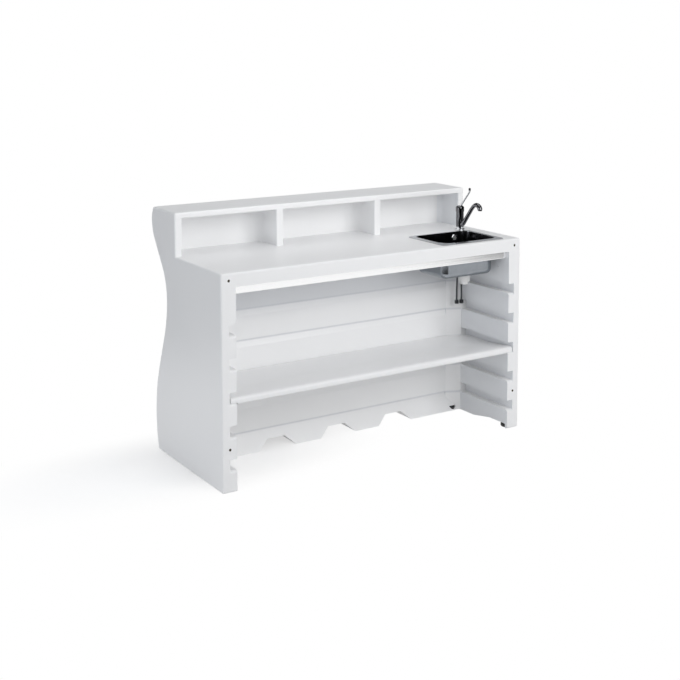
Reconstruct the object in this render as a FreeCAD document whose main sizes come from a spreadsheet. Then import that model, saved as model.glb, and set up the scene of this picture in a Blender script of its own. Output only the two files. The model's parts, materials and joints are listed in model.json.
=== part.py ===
import FreeCAD, Part
import math
import os
import Sketcher
from FreeCAD import Placement, Rotation, Vector

# Bar counter with a worktop, a raised bar shelf with three pigeonholes, runners for a
# removable shelf, an inset sink and a swivelling mixer tap.
# X runs along the counter, +Y points to the customer, Z is up, and the origin lies on the
# floor under the middle of the counter. All lengths are in millimetres.

SIZES = {
    # Overall form
    "length": 1600.0,
    "depth": 693.0,
    "bar_height": 1122.5,
    "work_height": 928.0,
    "worktop_thickness": 60.0,
    "end_wall": 68.6,
    "edge_round": 8.0,
    # Customer side: level and set-back of each turning point. Between two of them lie two
    # tangent bends with a straight stretch, which turns by a multiple of the chord's own angle
    "crown_drop": 59.5,
    "waist_height": 720.0,
    "belly_height": 165.0,
    "waist_inset": 153.0,
    "belly_inset": 19.0,
    "crown_top_radius": 98.0,
    "upper_turn_ratio": 1.456,
    "upper_crown_share": 0.38,
    "lower_turn_ratio": 1.57,
    "lower_belly_share": 0.573,
    "belly_lower_radius": 579.0,
    # Bar shelf with its pigeonholes
    "hutch_depth": 253.6,
    "hutch_top": 26.5,
    "hutch_cheek": 33.5,
    "divider_place": 272.0,
    "divider": 36.0,
    "cubby_back_wall": 35.2,
    "cubby_corner": 40.0,
    "cubby_lip": 5.0,
    # Runner grooves in the end walls
    "groove_count": 5,
    "groove_lowest": 92.9,
    "groove_pitch": 142.9,
    "groove_height": 47.2,
    "groove_depth": 32.7,
    "groove_lip": 12.0,
    "shelf_groove": 2,
    # Inner face of the customer panel
    "panel_depth": 298.0,
    "inner_kick": 30.0,
    "step_depth": 10.0,
    "step_drop": 32.0,
    "corner_width": 71.0,
    "corner_rise": 33.0,
    "notch_place": 330.0,
    "notch_bottom": 195.0,
    "notch_top": 92.0,
    "notch_height": 45.0,
    "notch_depth": 110.0,
    # Arches under the end walls
    "arch_start": 14.0,
    "arch_flat_end": 130.0,
    "arch_end": 255.0,
    "arch_height": 21.0,
    "arch_skirt": 12.0,
    # Small slot in the inner face of the right end wall
    "slot_length": 15.0,
    "slot_height": 4.0,
    "slot_depth": 4.0,
    "slot_front": 73.5,
    "slot_drop": 85.0,
    # Removable shelf
    "shelf_deck": 8.0,
    "shelf_nose": 31.0,
    "shelf_lip_drop": 9.0,
    "shelf_nose_depth": 34.0,
    "shelf_nose_round": 10.85,
    "shelf_slope_end": 175.0,
    "shelf_set_back": 0.5,
    "shelf_end_gap": 6.0,
    "shelf_rear_gap": 8.0,
    "shelf_corner_gap": 5.0,
    "shelf_corner_round": 25.0,
    "seat_gap": 0.3,
    # Stiffening rail under the front of the worktop
    "rail_height": 35.0,
    "rail_depth": 30.0,
    "rail_set_back": 20.0,
    "rail_round": 4.0,
    "rail_wall": 2.5,
    "rail_screw_count": 5,
    "rail_screw": 5.0,
    "rail_screw_head": 9.5,
    "rail_screw_head_height": 3.0,
    # Threaded inserts in the fronts of the end walls
    "insert_inset": 36.0,
    "insert_drop": 32.0,
    "insert_lower": 184.0,
    "insert_diameter": 12.0,
    "insert_depth": 22.0,
    "insert_bore": 8.4,
    "insert_bore_depth": 18.0,
    # Levelling feet
    "foot_front_inset": 43.0,
    "foot_front_back": 38.5,
    "foot_rear_inset": 110.0,
    "foot_rear_behind": 2.0,
    "foot_diameter": 49.0,
    "foot_height": 17.0,
    "foot_pocket": 60.0,
    "foot_pocket_height": 22.0,
    "foot_boss": 15.0,
    "foot_boss_height": 2.0,
    "foot_rim": 3.0,
    "stem_diameter": 10.0,
    "stem_length": 42.0,
    "stem_embed": 9.0,
    "bush_diameter": 19.0,
    "bush_length": 30.0,
    "thread_gap": 0.1,
    # Sink
    "sink_width": 367.0,
    "sink_end_gap": 9.4,
    "sink_front": 22.0,
    "sink_tap_gap": 4.0,
    "sink_corner": 22.0,
    "sink_rim": 1.5,
    "rim_left": 45.0,
    "rim_right": 22.0,
    "rim_front": 52.0,
    "rim_back": 10.0,
    "bowl_corner": 38.0,
    "bowl_floor_round": 26.0,
    "bowl_height": 175.0,
    "sheet": 1.2,
    "cutout_gap": 4.0,
    "seal": 1.0,
    "seal_width": 4.0,
    "seal_inset": 0.6,
    "clip_width": 18.0,
    "clip_thickness": 2.0,
    "clip_reach": 16.0,
    "clip_drop": 24.0,
    "clip_place": 80.0,
    # Waste and overflow
    "waste_from_right": 64.0,
    "waste_from_back": 78.0,
    "waste_flange": 76.0,
    "waste_flange_height": 2.0,
    "waste_flange_edge": 0.8,
    "waste_bore": 42.0,
    "waste_sleeve": 48.0,
    "waste_sleeve_length": 22.0,
    "waste_spokes": 4,
    "waste_spoke": 4.0,
    "waste_gasket": 3.0,
    "waste_body": 58.0,
    "waste_body_height": 52.0,
    "waste_cap": 66.0,
    "waste_cap_height": 9.0,
    "waste_tail": 38.0,
    "waste_tail_bore": 32.0,
    "waste_tail_length": 14.0,
    "waste_floor": 5.0,
    "waste_branch_drop": 22.0,
    "waste_branch_reach": 16.0,
    "fit_gap": 0.3,
    "plug_rim": 5.0,
    "plug_depth": 3.0,
    "plug_cap": 3.0,
    "plug_knob": 10.0,
    "plug_knob_height": 5.0,
    "overflow_drop": 28.0,
    "overflow_rose": 34.0,
    "overflow_rose_height": 2.0,
    "overflow_hole": 22.0,
    "rose_holes": 6,
    "rose_hole": 5.0,
    "rose_hole_circle": 16.0,
    "overflow_screw": 5.0,
    "overflow_screw_head": 8.0,
    "overflow_body": 32.0,
    "overflow_body_depth": 21.0,
    "overflow_socket_wall": 1.0,
    "overflow_socket": 22.0,
    "overflow_pipe": 18.0,
    "overflow_bend": 24.0,
    "overflow_notch": 3.0,
    # Mixer tap
    "tap_end_gap": 32.9,
    "tap_wall_gap": 57.0,
    "tap_hole": 35.0,
    "tap_base": 48.0,
    "tap_base_height": 5.0,
    "tap_shoulder_height": 9.0,
    "tap_seal": 1.0,
    "tap_body": 38.0,
    "tap_neck": 31.0,
    "swivel_low": 17.0,
    "swivel_high": 43.0,
    "swivel_gap": 0.1,
    "tap_body_top": 92.0,
    "tap_cap": 42.0,
    "tap_cap_height": 29.0,
    "tap_cap_round": 12.0,
    "tap_cap_gap": 0.4,
    "cartridge": 28.0,
    "cartridge_floor": 8.0,
    "cartridge_stem": 8.0,
    "stem_rise": 8.0,
    "spout_reach": 155.0,
    "spout_rise": 92.0,
    "spout_root": 25.0,
    "spout_tip": 19.0,
    "spout_knuckle": 23.0,
    "spout_nozzle": 12.0,
    "aerator_diameter": 21.0,
    "aerator_length": 9.0,
    "aerator_bore": 16.0,
    "aerator_recess": 4.0,
    "lever_diameter": 9.0,
    "lever_reach": 75.0,
    "lever_rise": 85.0,
    "lever_tip": 8.0,
    "lever_bend": 13.0,
    "lever_hub": 12.0,
    "lever_hub_width": 8.0,
    "lever_knob": 11.0,
    "lever_knob_height": 12.0,
    "lever_knob_round": 3.3,
    "lever_pivot_drop": 9.0,
    "lever_pin": 3.0,
    "lever_slot": 10.0,
    "lever_slot_floor": 8.0,
    "pin_gap": 0.05,
    "stud_diameter": 8.0,
    "stud_length": 92.0,
    "stud_offset": 10.0,
    "stud_bite": 8.0,
    "clamp_diameter": 46.0,
    "clamp_thickness": 2.0,
    "clamp_washer": 3.0,
    "clamp_mouth": 26.0,
    "clamp_mouth_start": 5.0,
    "stud_nut": 13.0,
    "stud_nut_height": 8.0,
    # Supply hoses
    "hose_diameter": 9.0,
    "hose_spread": 6.5,
    "hose_offset": 3.0,
    "ferrule_diameter": 11.0,
    "ferrule_length": 24.0,
    "ferrule_bite": 9.0,
    "hose_nut": 19.0,
    "hose_nut_height": 17.0,
    "hose_nut_bore": 15.2,
    "hose_nut_bore_depth": 10.0,
}


# ---------------------------------------------------------------- sizes and expressions

class Dim:
    """A length that carries its value and the spreadsheet expression it comes from."""

    def __init__(self, value, text):
        self.value = value
        self.text = text

    def __add__(self, other):
        other = as_dim(other)
        return Dim(self.value + other.value, f"({self.text} + {other.text})")

    def __sub__(self, other):
        other = as_dim(other)
        return Dim(self.value - other.value, f"({self.text} - {other.text})")

    def __mul__(self, other):
        other = as_dim(other)
        return Dim(self.value * other.value, f"({self.text} * {other.text})")

    def __truediv__(self, other):
        other = as_dim(other)
        return Dim(self.value / other.value, f"({self.text} / {other.text})")

    def __radd__(self, other):
        return as_dim(other) + self

    def __rsub__(self, other):
        return as_dim(other) - self

    def __rmul__(self, other):
        return as_dim(other) * self

    def __neg__(self):
        return Dim(-self.value, f"(-1 * {self.text})")


def as_dim(number):
    """A plain number as a Dim, so that both mix in one formula."""
    return number if isinstance(number, Dim) else Dim(float(number), f"{float(number):.6f}")


class SizeSheet:
    """The spreadsheet of driving sizes; each alias reads as an attribute."""

    def __init__(self, document, sizes):
        sheet = document.addObject("Spreadsheet::Sheet", "Sizes")
        for row, (alias, value) in enumerate(sizes.items(), start=1):
            sheet.set(f"A{row}", alias)
            sheet.set(f"B{row}", str(value))
            sheet.setAlias(f"B{row}", alias)
        document.recompute()
        for alias in sizes:
            setattr(self, alias, Dim(float(sheet.get(alias)), f"Sizes.{alias}"))


def bind(thing, path, dim):
    """Ties one property of an object to the sheet."""
    thing.setExpression(path, as_dim(dim).text)


doc = FreeCAD.newDocument("BarCounter")
S = SizeSheet(doc, SIZES)
nodes = {}


def node(name, thing):
    """Registers a finished sub-part under the name of its file."""
    thing.Label = name
    nodes[name] = thing
    return thing


# ---------------------------------------------------------------- derived places

FRONT = -S.depth / 2
BACK = S.depth / 2
HALF = S.length / 2
INNER = HALF - S.end_wall
WORK_UNDER = S.work_height - S.worktop_thickness
HUTCH_FRONT = BACK - S.hutch_depth
INNER_WALL = BACK - S.panel_depth
CROWN_LEVEL = S.bar_height - S.crown_drop
CORNER_FRONT = INNER_WALL - S.corner_rise
SHELF_LEVEL = S.groove_lowest + S.groove_pitch * S.shelf_groove
TAP_X = INNER - S.tap_end_gap
TAP_Y = INNER_WALL - S.tap_wall_gap
TAP_SEAT = S.work_height + S.tap_seal
SINK_RIGHT = INNER - S.sink_end_gap
SINK_LEFT = SINK_RIGHT - S.sink_width
SINK_FRONT = FRONT + S.sink_front
SINK_BACK = TAP_Y - S.tap_base / 2 - S.sink_tap_gap
BOWL_LEFT = SINK_LEFT + S.rim_left
BOWL_RIGHT = SINK_RIGHT - S.rim_right
BOWL_FRONT = SINK_FRONT + S.rim_front
BOWL_BACK = SINK_BACK - S.rim_back
DRAIN_X = BOWL_RIGHT - S.waste_from_right
WASTE_Y = BOWL_BACK - S.waste_from_back
BOWL_UNDER = S.work_height - S.bowl_height
BOWL_FLOOR = BOWL_UNDER + S.sheet
OVERFLOW_LEVEL = S.work_height - S.overflow_drop
SIDES = {"left": -1, "right": 1}
CLEAR = 1.0  # how far a cutting tool reaches past the face it opens


# ---------------------------------------------------------------- modelling helpers

def origin_feature(body, role):
    """An origin plane or axis of a body, found by its role."""
    for feature in body.Origin.OriginFeatures:
        if feature.Role == role:
            return feature
    raise ValueError(role)


def new_body(name, base=None):
    body = doc.addObject("PartDesign::Body", name)
    if base is not None:
        body.BaseFeature = base
        doc.recompute()
    return body


def new_sketch(body, name, plane, offset=0):
    """A sketch on an origin plane of its body, moved along that plane's normal."""
    sketch = body.newObject("Sketcher::SketchObject", name)
    sketch.AttachmentSupport = (origin_feature(body, plane), [""])
    sketch.MapMode = "FlatFace"
    offset = as_dim(offset)
    sketch.AttachmentOffset = Placement(Vector(0, 0, offset.value), Rotation())
    bind(sketch, "AttachmentOffset.Base.z", offset)
    return sketch


def pin_along(sketch, kind, geometry, end, dim):
    """Fixes one coordinate of a point, DistanceX or DistanceY, at an expression of the sheet."""
    dim = as_dim(dim)
    index = sketch.addConstraint(Sketcher.Constraint(kind, -1, 1, geometry, end, dim.value))
    bind(sketch, f"Constraints[{index}]", dim)


def pin_point(sketch, geometry, end, x, y):
    pin_along(sketch, "DistanceX", geometry, end, x)
    pin_along(sketch, "DistanceY", geometry, end, y)


def set_radius(sketch, geometry, dim):
    index = sketch.addConstraint(Sketcher.Constraint("Radius", geometry, dim.value))
    bind(sketch, f"Constraints[{index}]", dim)


def draw_polygon(sketch, points):
    """A closed outline of straight lines with every corner bound to the sheet."""
    corners = [(as_dim(x), as_dim(y)) for x, y in points]
    vectors = [Vector(x.value, y.value, 0) for x, y in corners]
    count = len(corners)
    first = sketch.GeometryCount
    for i in range(count):
        sketch.addGeometry(Part.LineSegment(vectors[i], vectors[(i + 1) % count]))
    for i in range(count):
        following = first + (i + 1) % count
        sketch.addConstraint(Sketcher.Constraint("Coincident", first + i, 2, following, 1))
        pin_point(sketch, first + i, 1, *corners[i])


def draw_circle(sketch, x, y, diameter):
    x, y, radius = as_dim(x), as_dim(y), as_dim(diameter) / 2
    centre = Vector(x.value, y.value, 0)
    circle = sketch.addGeometry(Part.Circle(centre, Vector(0, 0, 1), radius.value))
    pin_point(sketch, circle, 3, x, y)
    set_radius(sketch, circle, radius)


def arc(sketch, centre, radius, start, end):
    circle = Part.Circle(Vector(centre[0], centre[1], 0), Vector(0, 0, 1), radius)
    return sketch.addGeometry(Part.ArcOfCircle(circle, start, end))


def draw_rounded(sketch, plan, radius):
    """A rectangle with tangent corner arcs, bound to the sheet."""
    plan = [(as_dim(x), as_dim(y)) for x, y in plan]
    x0, x1, y0, y1 = plan[0][0], plan[1][0], plan[0][1], plan[2][1]
    left, right = (x0 + radius).value, (x1 - radius).value
    low, high = (y0 + radius).value, (y1 - radius).value
    sides = [((left, y0.value), (right, y0.value)), ((x1.value, low), (x1.value, high)),
             ((right, y1.value), (left, y1.value)), ((x0.value, high), (x0.value, low))]
    centres = [(right, low), (right, high), (left, high), (left, low)]
    lines = [sketch.addGeometry(Part.LineSegment(Vector(*a, 0), Vector(*b, 0))) for a, b in sides]
    for i, centre in enumerate(centres):
        start = (i - 1) * math.pi / 2
        corner = arc(sketch, centre, radius.value, start, start + math.pi / 2)
        following = lines[(i + 1) % 4]
        sketch.addConstraint(Sketcher.Constraint("Tangent", lines[i], 2, corner, 1))
        sketch.addConstraint(Sketcher.Constraint("Tangent", corner, 2, following, 1))
        sketch.addConstraint(Sketcher.Constraint("Vertical" if i % 2 else "Horizontal", lines[i]))
        set_radius(sketch, corner, radius)
    for line, kind, dim in zip(lines, ("DistanceY", "DistanceX") * 2, (y0, x1, y1, x0)):
        pin_along(sketch, kind, line, 1, dim)


PLANES = {"x": "YZ_Plane", "y": "XZ_Plane", "z": "XY_Plane"}


def sketch_across(body, name, axis, low, high):
    """A sketch normal to an axis, placed so that a pad of the returned length fills low to high."""
    # The XZ plane looks along -Y, so its sketch lies at the high end and pads downwards.
    offset = -as_dim(high) if axis == "y" else as_dim(low)
    sketch = new_sketch(body, name, PLANES[axis], offset)
    return sketch, as_dim(high) - as_dim(low)


def pad(body, sketch, length, name="Pad"):
    feature = body.newObject("PartDesign::Pad", name)
    feature.Profile = sketch
    feature.Length = length.value
    bind(feature, "Length", length)
    doc.recompute()
    return feature


def pocket(body, sketch, length, name="Pocket"):
    """A pocket that runs along the sketch's normal, the way a pad does."""
    feature = body.newObject("PartDesign::Pocket", name)
    feature.Profile = sketch
    feature.Reversed = True
    feature.Length = length.value
    bind(feature, "Length", length)
    return feature


def checked_cut(body, feature):
    """Recomputes a cut and makes sure that it took material away."""
    before = feature.BaseFeature.Shape.Volume
    doc.recompute()
    if feature.Shape.Volume > before - 1.0:
        raise ValueError(f"{body.Name}.{feature.Name} cuts nothing")
    return feature


def prism(name, axis, low, high, points):
    """A body with a straight-sided outline, padded along an axis from low to high."""
    body = new_body(name)
    sketch, length = sketch_across(body, "Outline", axis, low, high)
    draw_polygon(sketch, points)
    pad(body, sketch, length)
    return body


def rectangle(x0, x1, y0, y1):
    return [(x0, y0), (x1, y0), (x1, y1), (x0, y1)]


def cut_outline(body, name, axis, low, high, points):
    sketch, length = sketch_across(body, name + "Sketch", axis, low, high)
    draw_polygon(sketch, points)
    return checked_cut(body, pocket(body, sketch, length, name))


def pad_rounded(body, name, low, high, plan, radius):
    sketch, length = sketch_across(body, name + "Sketch", "z", low, high)
    draw_rounded(sketch, plan, radius)
    return pad(body, sketch, length, name)


def cut_rounded(body, name, low, high, plan, radius):
    sketch, length = sketch_across(body, name + "Sketch", "z", low, high)
    draw_rounded(sketch, plan, radius)
    return checked_cut(body, pocket(body, sketch, length, name))


def cut_bore(body, name, axis, low, high, x, y, diameter):
    sketch, length = sketch_across(body, name + "Sketch", axis, low, high)
    draw_circle(sketch, x, y, diameter)
    return checked_cut(body, pocket(body, sketch, length, name))


def round_edges(body, radius, chosen, name="Round"):
    """Fillets the edges of the body's tip for which chosen(edge) is true."""
    doc.recompute()
    base = body.Tip
    names = [f"Edge{i}" for i, edge in enumerate(base.Shape.Edges, start=1) if chosen(edge)]
    if not names:
        raise ValueError(f"{body.Name}: no edge to round")
    feature = body.newObject("PartDesign::Fillet", name)
    feature.Base = (base, names)
    feature.Radius = radius.value
    bind(feature, "Radius", radius)
    doc.recompute()
    return feature


def turned_body(name, profile):
    """A turned piece on the origin: (radius, height) profile about the Z axis."""
    body = new_body(name)
    sketch = new_sketch(body, "Profile", "XZ_Plane")
    draw_polygon(sketch, profile)
    feature = body.newObject("PartDesign::Revolution", "Turned")
    feature.Profile = sketch
    feature.ReferenceAxis = (sketch, ["V_Axis"])
    feature.Angle = 360.0
    doc.recompute()
    return body


def revolve(name, profile, x, y, z, turn=None):
    """A turned piece placed at x, y, z."""
    body = turned_body(name, profile)
    place(body, x, y, z, turn)
    doc.recompute()
    return body


def repeat_round(body, feature, count, name="Repeated"):
    """Copies of one feature, evenly spaced about the body's own Z axis."""
    pattern = body.newObject("PartDesign::PolarPattern", name)
    pattern.Originals = [feature]
    pattern.Axis = (origin_feature(body, "Z_Axis"), [""])
    pattern.Angle = 360.0
    pattern.Occurrences = int(count.value)
    bind(pattern, "Occurrences", count)
    body.Tip = pattern
    doc.recompute()
    return pattern


def draw_bent_line(sketch, start, corner, end, radius):
    """Two straight runs that would meet at a corner, joined there by a tangent arc."""
    start, corner, end = [(as_dim(x), as_dim(y)) for x, y in (start, corner, end)]
    a, p, b = [Vector(x.value, y.value, 0) for x, y in (start, corner, end)]
    to_a, to_b = (a - p).normalize(), (b - p).normalize()
    half = to_a.getAngle(to_b) / 2
    setback = radius.value / math.tan(half)
    centre = p + (to_a + to_b).normalize() * (radius.value / math.sin(half))
    joint_a, joint_b = p + to_a * setback, p + to_b * setback
    angle_a = math.atan2(joint_a.y - centre.y, joint_a.x - centre.x)
    angle_b = math.atan2(joint_b.y - centre.y, joint_b.x - centre.x)
    turns_left = (p - a).cross(b - p).z > 0
    angles = (angle_a, angle_b) if turns_left else (angle_b, angle_a)
    end_a, end_b = (1, 2) if turns_left else (2, 1)
    first = sketch.addGeometry(Part.LineSegment(a, joint_a))
    bend = arc(sketch, (centre.x, centre.y), radius.value, *angles)
    last = sketch.addGeometry(Part.LineSegment(joint_b, b))
    mark = sketch.addGeometry(Part.Point(p))
    sketch.toggleConstruction(mark)
    sketch.addConstraint(Sketcher.Constraint("Tangent", first, 2, bend, end_a))
    sketch.addConstraint(Sketcher.Constraint("Tangent", bend, end_b, last, 1))
    pin_point(sketch, mark, 1, *corner)
    sketch.addConstraint(Sketcher.Constraint("PointOnObject", mark, 1, first))
    sketch.addConstraint(Sketcher.Constraint("PointOnObject", mark, 1, last))
    pin_point(sketch, first, 1, *start)
    pin_point(sketch, last, 2, *end)
    set_radius(sketch, bend, radius)


def sweep(body, section_sketch, route):
    """A round bar: the section carried along the route."""
    feature = body.newObject("PartDesign::AdditivePipe", "Sweep")
    feature.Profile = section_sketch
    feature.Spine = route
    doc.recompute()
    return feature


def place(thing, x, y, z, turn=None):
    x, y, z = as_dim(x), as_dim(y), as_dim(z)
    thing.Placement = Placement(Vector(x.value, y.value, z.value), turn or Rotation())
    bind(thing, "Placement.Base.x", x)
    bind(thing, "Placement.Base.y", y)
    bind(thing, "Placement.Base.z", z)


def box(name, x0, x1, y0, y1, z0, z1):
    thing = doc.addObject("Part::Box", name)
    for side, low, high in (("Length", x0, x1), ("Width", y0, y1), ("Height", z0, z1)):
        length = as_dim(high) - as_dim(low)
        setattr(thing, side, length.value)
        bind(thing, side, length)
    place(thing, x0, y0, z0)
    return thing


def cylinder(name, diameter, length, x, y, z, turn=None):
    thing = doc.addObject("Part::Cylinder", name)
    radius, length = as_dim(diameter) / 2, as_dim(length)
    thing.Radius = radius.value
    thing.Height = length.value
    bind(thing, "Radius", radius)
    bind(thing, "Height", length)
    place(thing, x, y, z, turn)
    return thing


def boolean(kind, name, base, tool):
    thing = doc.addObject(kind, name)
    thing.Base = base
    thing.Tool = tool
    doc.recompute()
    return thing


def cut(name, base, tool):
    return boolean("Part::Cut", name, base, tool)


def common(name, base, tool):
    return boolean("Part::Common", name, base, tool)


def group(name, shapes, kind="Part::MultiFuse"):
    """Several shapes as one: fused, or side by side as a Part::Compound."""
    thing = doc.addObject(kind, name)
    if kind == "Part::Compound":
        thing.Links = shapes
    else:
        thing.Shapes = shapes
    doc.recompute()
    return thing


def close(a, b, slack=0.01):
    return abs(a - b) < slack


def span(edge, axis):
    """Length of an edge's bounding box along X, Y or Z."""
    return getattr(edge.BoundBox, axis + "Length")


def runs_along(edge, axis):
    """True for a straight edge parallel to X, Y or Z."""
    return all(span(edge, other) < 0.01 for other in "XYZ" if other != axis)


# ---------------------------------------------------------------- moulded outer form

def double_bend(inset, drop, ratio):
    """Turn and summed radius of two tangent bends that step sideways by inset over a drop.

    The straight stretch between them turns by ratio times the angle of the chord: 1 would be
    all straight, and 2 two bends that meet with no straight stretch.
    """
    turn = ratio.value * math.atan2(inset.value, drop.value)
    total = ((drop.value * math.sin(turn) - inset.value * math.cos(turn))
             / (1 - math.cos(turn)))
    angle = f"({ratio.text} * atan({inset.text} / {drop.text}))"
    radii = (f"(({drop.text} * sin({angle}) - {inset.text} * cos({angle}))"
             f" / (1 - cos({angle})))")
    return Dim(turn, angle), Dim(total, radii)


UPPER_TURN, UPPER_RADII = double_bend(S.waist_inset, CROWN_LEVEL - S.waist_height,
                                      S.upper_turn_ratio)
LOWER_TURN, LOWER_RADII = double_bend(S.waist_inset - S.belly_inset,
                                      S.waist_height - S.belly_height, S.lower_turn_ratio)
CROWN_UNDER = UPPER_RADII * S.upper_crown_share
BELLY_UPPER = LOWER_RADII * S.lower_belly_share


def straight_inset(level):
    """How far the straight stretch under the crown has drawn in at a level."""
    drop, turn = CROWN_LEVEL - level, UPPER_TURN
    inset = (CROWN_UNDER.value * (1 - math.cos(turn.value))
             + (drop.value - CROWN_UNDER.value * math.sin(turn.value)) * math.tan(turn.value))
    return Dim(inset, f"({CROWN_UNDER.text} * (1 - cos({turn.text})) + ({drop.text} - "
                      f"{CROWN_UNDER.text} * sin({turn.text})) * tan({turn.text}))")


def draw_side_profile(sketch):
    """The counter seen from its end: step at the front, double curve at the customer side."""
    crown_y, waist_y = BACK, BACK - S.waist_inset
    belly_y = BACK - S.belly_inset
    bends = {
        # name: (turning point, level, radius, side of the centre)
        "crown_top": (crown_y, CROWN_LEVEL, S.crown_top_radius, -1),
        "crown_under": (crown_y, CROWN_LEVEL, CROWN_UNDER, -1),
        "waist_upper": (waist_y, S.waist_height, UPPER_RADII - CROWN_UNDER, 1),
        "waist_lower": (waist_y, S.waist_height, LOWER_RADII - BELLY_UPPER, 1),
        "belly_upper": (belly_y, S.belly_height, BELLY_UPPER, -1),
        "belly_lower": (belly_y, S.belly_height, S.belly_lower_radius, -1),
    }
    upper, lower = UPPER_TURN.value, LOWER_TURN.value
    top_turn = math.asin(S.crown_drop.value / S.crown_top_radius.value)
    foot_turn = math.asin(S.belly_height.value / S.belly_lower_radius.value)
    angles = {
        "crown_top": (0, top_turn),
        "crown_under": (-upper, 0),
        "waist_upper": (math.pi - upper, math.pi),
        "waist_lower": (math.pi, math.pi + lower),
        "belly_upper": (0, lower),
        "belly_lower": (-foot_turn, 0),
    }
    leading = ("crown_top", "waist_upper", "belly_upper")
    arcs = {}
    for name, (point, level, radius, side) in bends.items():
        centre = point + side * radius
        index = arc(sketch, (centre.value, level.value), radius.value, *angles[name])
        set_radius(sketch, index, radius)
        if name in leading:
            pin_point(sketch, index, 3, centre, level)
        arcs[name] = index

    def end_point(name, end):
        return sketch.getPoint(arcs[name], end)

    def join(first, first_end, second, second_end, kind="Coincident"):
        sketch.addConstraint(Sketcher.Constraint(kind, first, first_end, second, second_end))

    straights = (("crown_under", 1, "waist_upper", 1), ("waist_lower", 2, "belly_upper", 2))
    for first, first_end, second, second_end in straights:
        line = sketch.addGeometry(Part.LineSegment(end_point(first, first_end),
                                                   end_point(second, second_end)))
        join(arcs[first], first_end, line, 1, "Tangent")
        join(line, 2, arcs[second], second_end, "Tangent")
    for upper_arc, upper_end, lower_arc, lower_end in (("crown_top", 1, "crown_under", 2),
                                                       ("waist_upper", 2, "waist_lower", 1),
                                                       ("belly_upper", 1, "belly_lower", 2)):
        join(arcs[upper_arc], upper_end, arcs[lower_arc], lower_end, "Tangent")
        index = sketch.addConstraint(Sketcher.Constraint(
            "DistanceY", -1, 1, arcs[upper_arc], upper_end, bends[upper_arc][1].value))
        bind(sketch, f"Constraints[{index}]", bends[upper_arc][1])

    corners = [(FRONT, 0), (FRONT, S.work_height), (HUTCH_FRONT, S.work_height),
               (HUTCH_FRONT, S.bar_height)]
    corners = [(as_dim(y), as_dim(z)) for y, z in corners]
    points = [end_point("belly_lower", 1)]
    points += [Vector(y.value, z.value, 0) for y, z in corners]
    points += [end_point("crown_top", 2)]
    lines = [sketch.addGeometry(Part.LineSegment(points[i], points[i + 1]))
             for i in range(len(points) - 1)]
    join(arcs["belly_lower"], 1, lines[0], 1)
    for i, (y, z) in enumerate(corners):
        join(lines[i], 2, lines[i + 1], 1)
        pin_point(sketch, lines[i], 2, y, z)
    join(lines[-1], 2, arcs["crown_top"], 2)
    sketch.addConstraint(Sketcher.Constraint("Horizontal", lines[0]))
    sketch.addConstraint(Sketcher.Constraint("Horizontal", lines[-1]))


def make_outer_form():
    """The whole outer form of the moulding, from which its sections are cut."""
    body = new_body("OuterForm")
    sketch, length = sketch_across(body, "SideProfile", "x", -HALF, HALF)
    draw_side_profile(sketch)
    pad(body, sketch, length)
    half, front, hutch = HALF.value, FRONT.value, HUTCH_FRONT.value
    step, top = S.work_height.value, S.bar_height.value

    def outer_edge(edge):
        centre = edge.CenterOfMass
        if close(abs(centre.x), half):
            return True
        if not runs_along(edge, "X"):
            return False
        if close(centre.y, hutch) and close(centre.z, step):
            return False
        return close(centre.z, 0) or close(centre.z, top) or close(centre.y, front)

    round_edges(body, S.edge_round, outer_edge)
    return body


OUTER = make_outer_form()


def section(name, x0, x1, y0, y1, z0, z1):
    """One region of the outer form as the base of a body of its own."""
    region = box(name + "Region", x0, x1, y0, y1, z0, z1)
    return new_body(name, common(name + "Form", OUTER, region))


# ---------------------------------------------------------------- end walls

def foot_places(side):
    """Centres of the front and the rear foot of one end."""
    return {
        "front": (side * (HALF - S.foot_front_inset), FRONT + S.foot_front_back),
        "rear": (side * (HALF - S.foot_rear_inset), INNER_WALL + S.foot_rear_behind),
    }


def cut_foot(body, name, x, y):
    """Pocket for the pad of a foot, and the bore for its threaded bush."""
    cut_bore(body, name + "Pocket", "z", -CLEAR, S.foot_pocket_height, x, y, S.foot_pocket)
    cut_bore(body, name + "Bore", "z", S.foot_pocket_height - CLEAR,
             S.foot_pocket_height + S.bush_length, x, y, S.bush_diameter)


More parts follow.
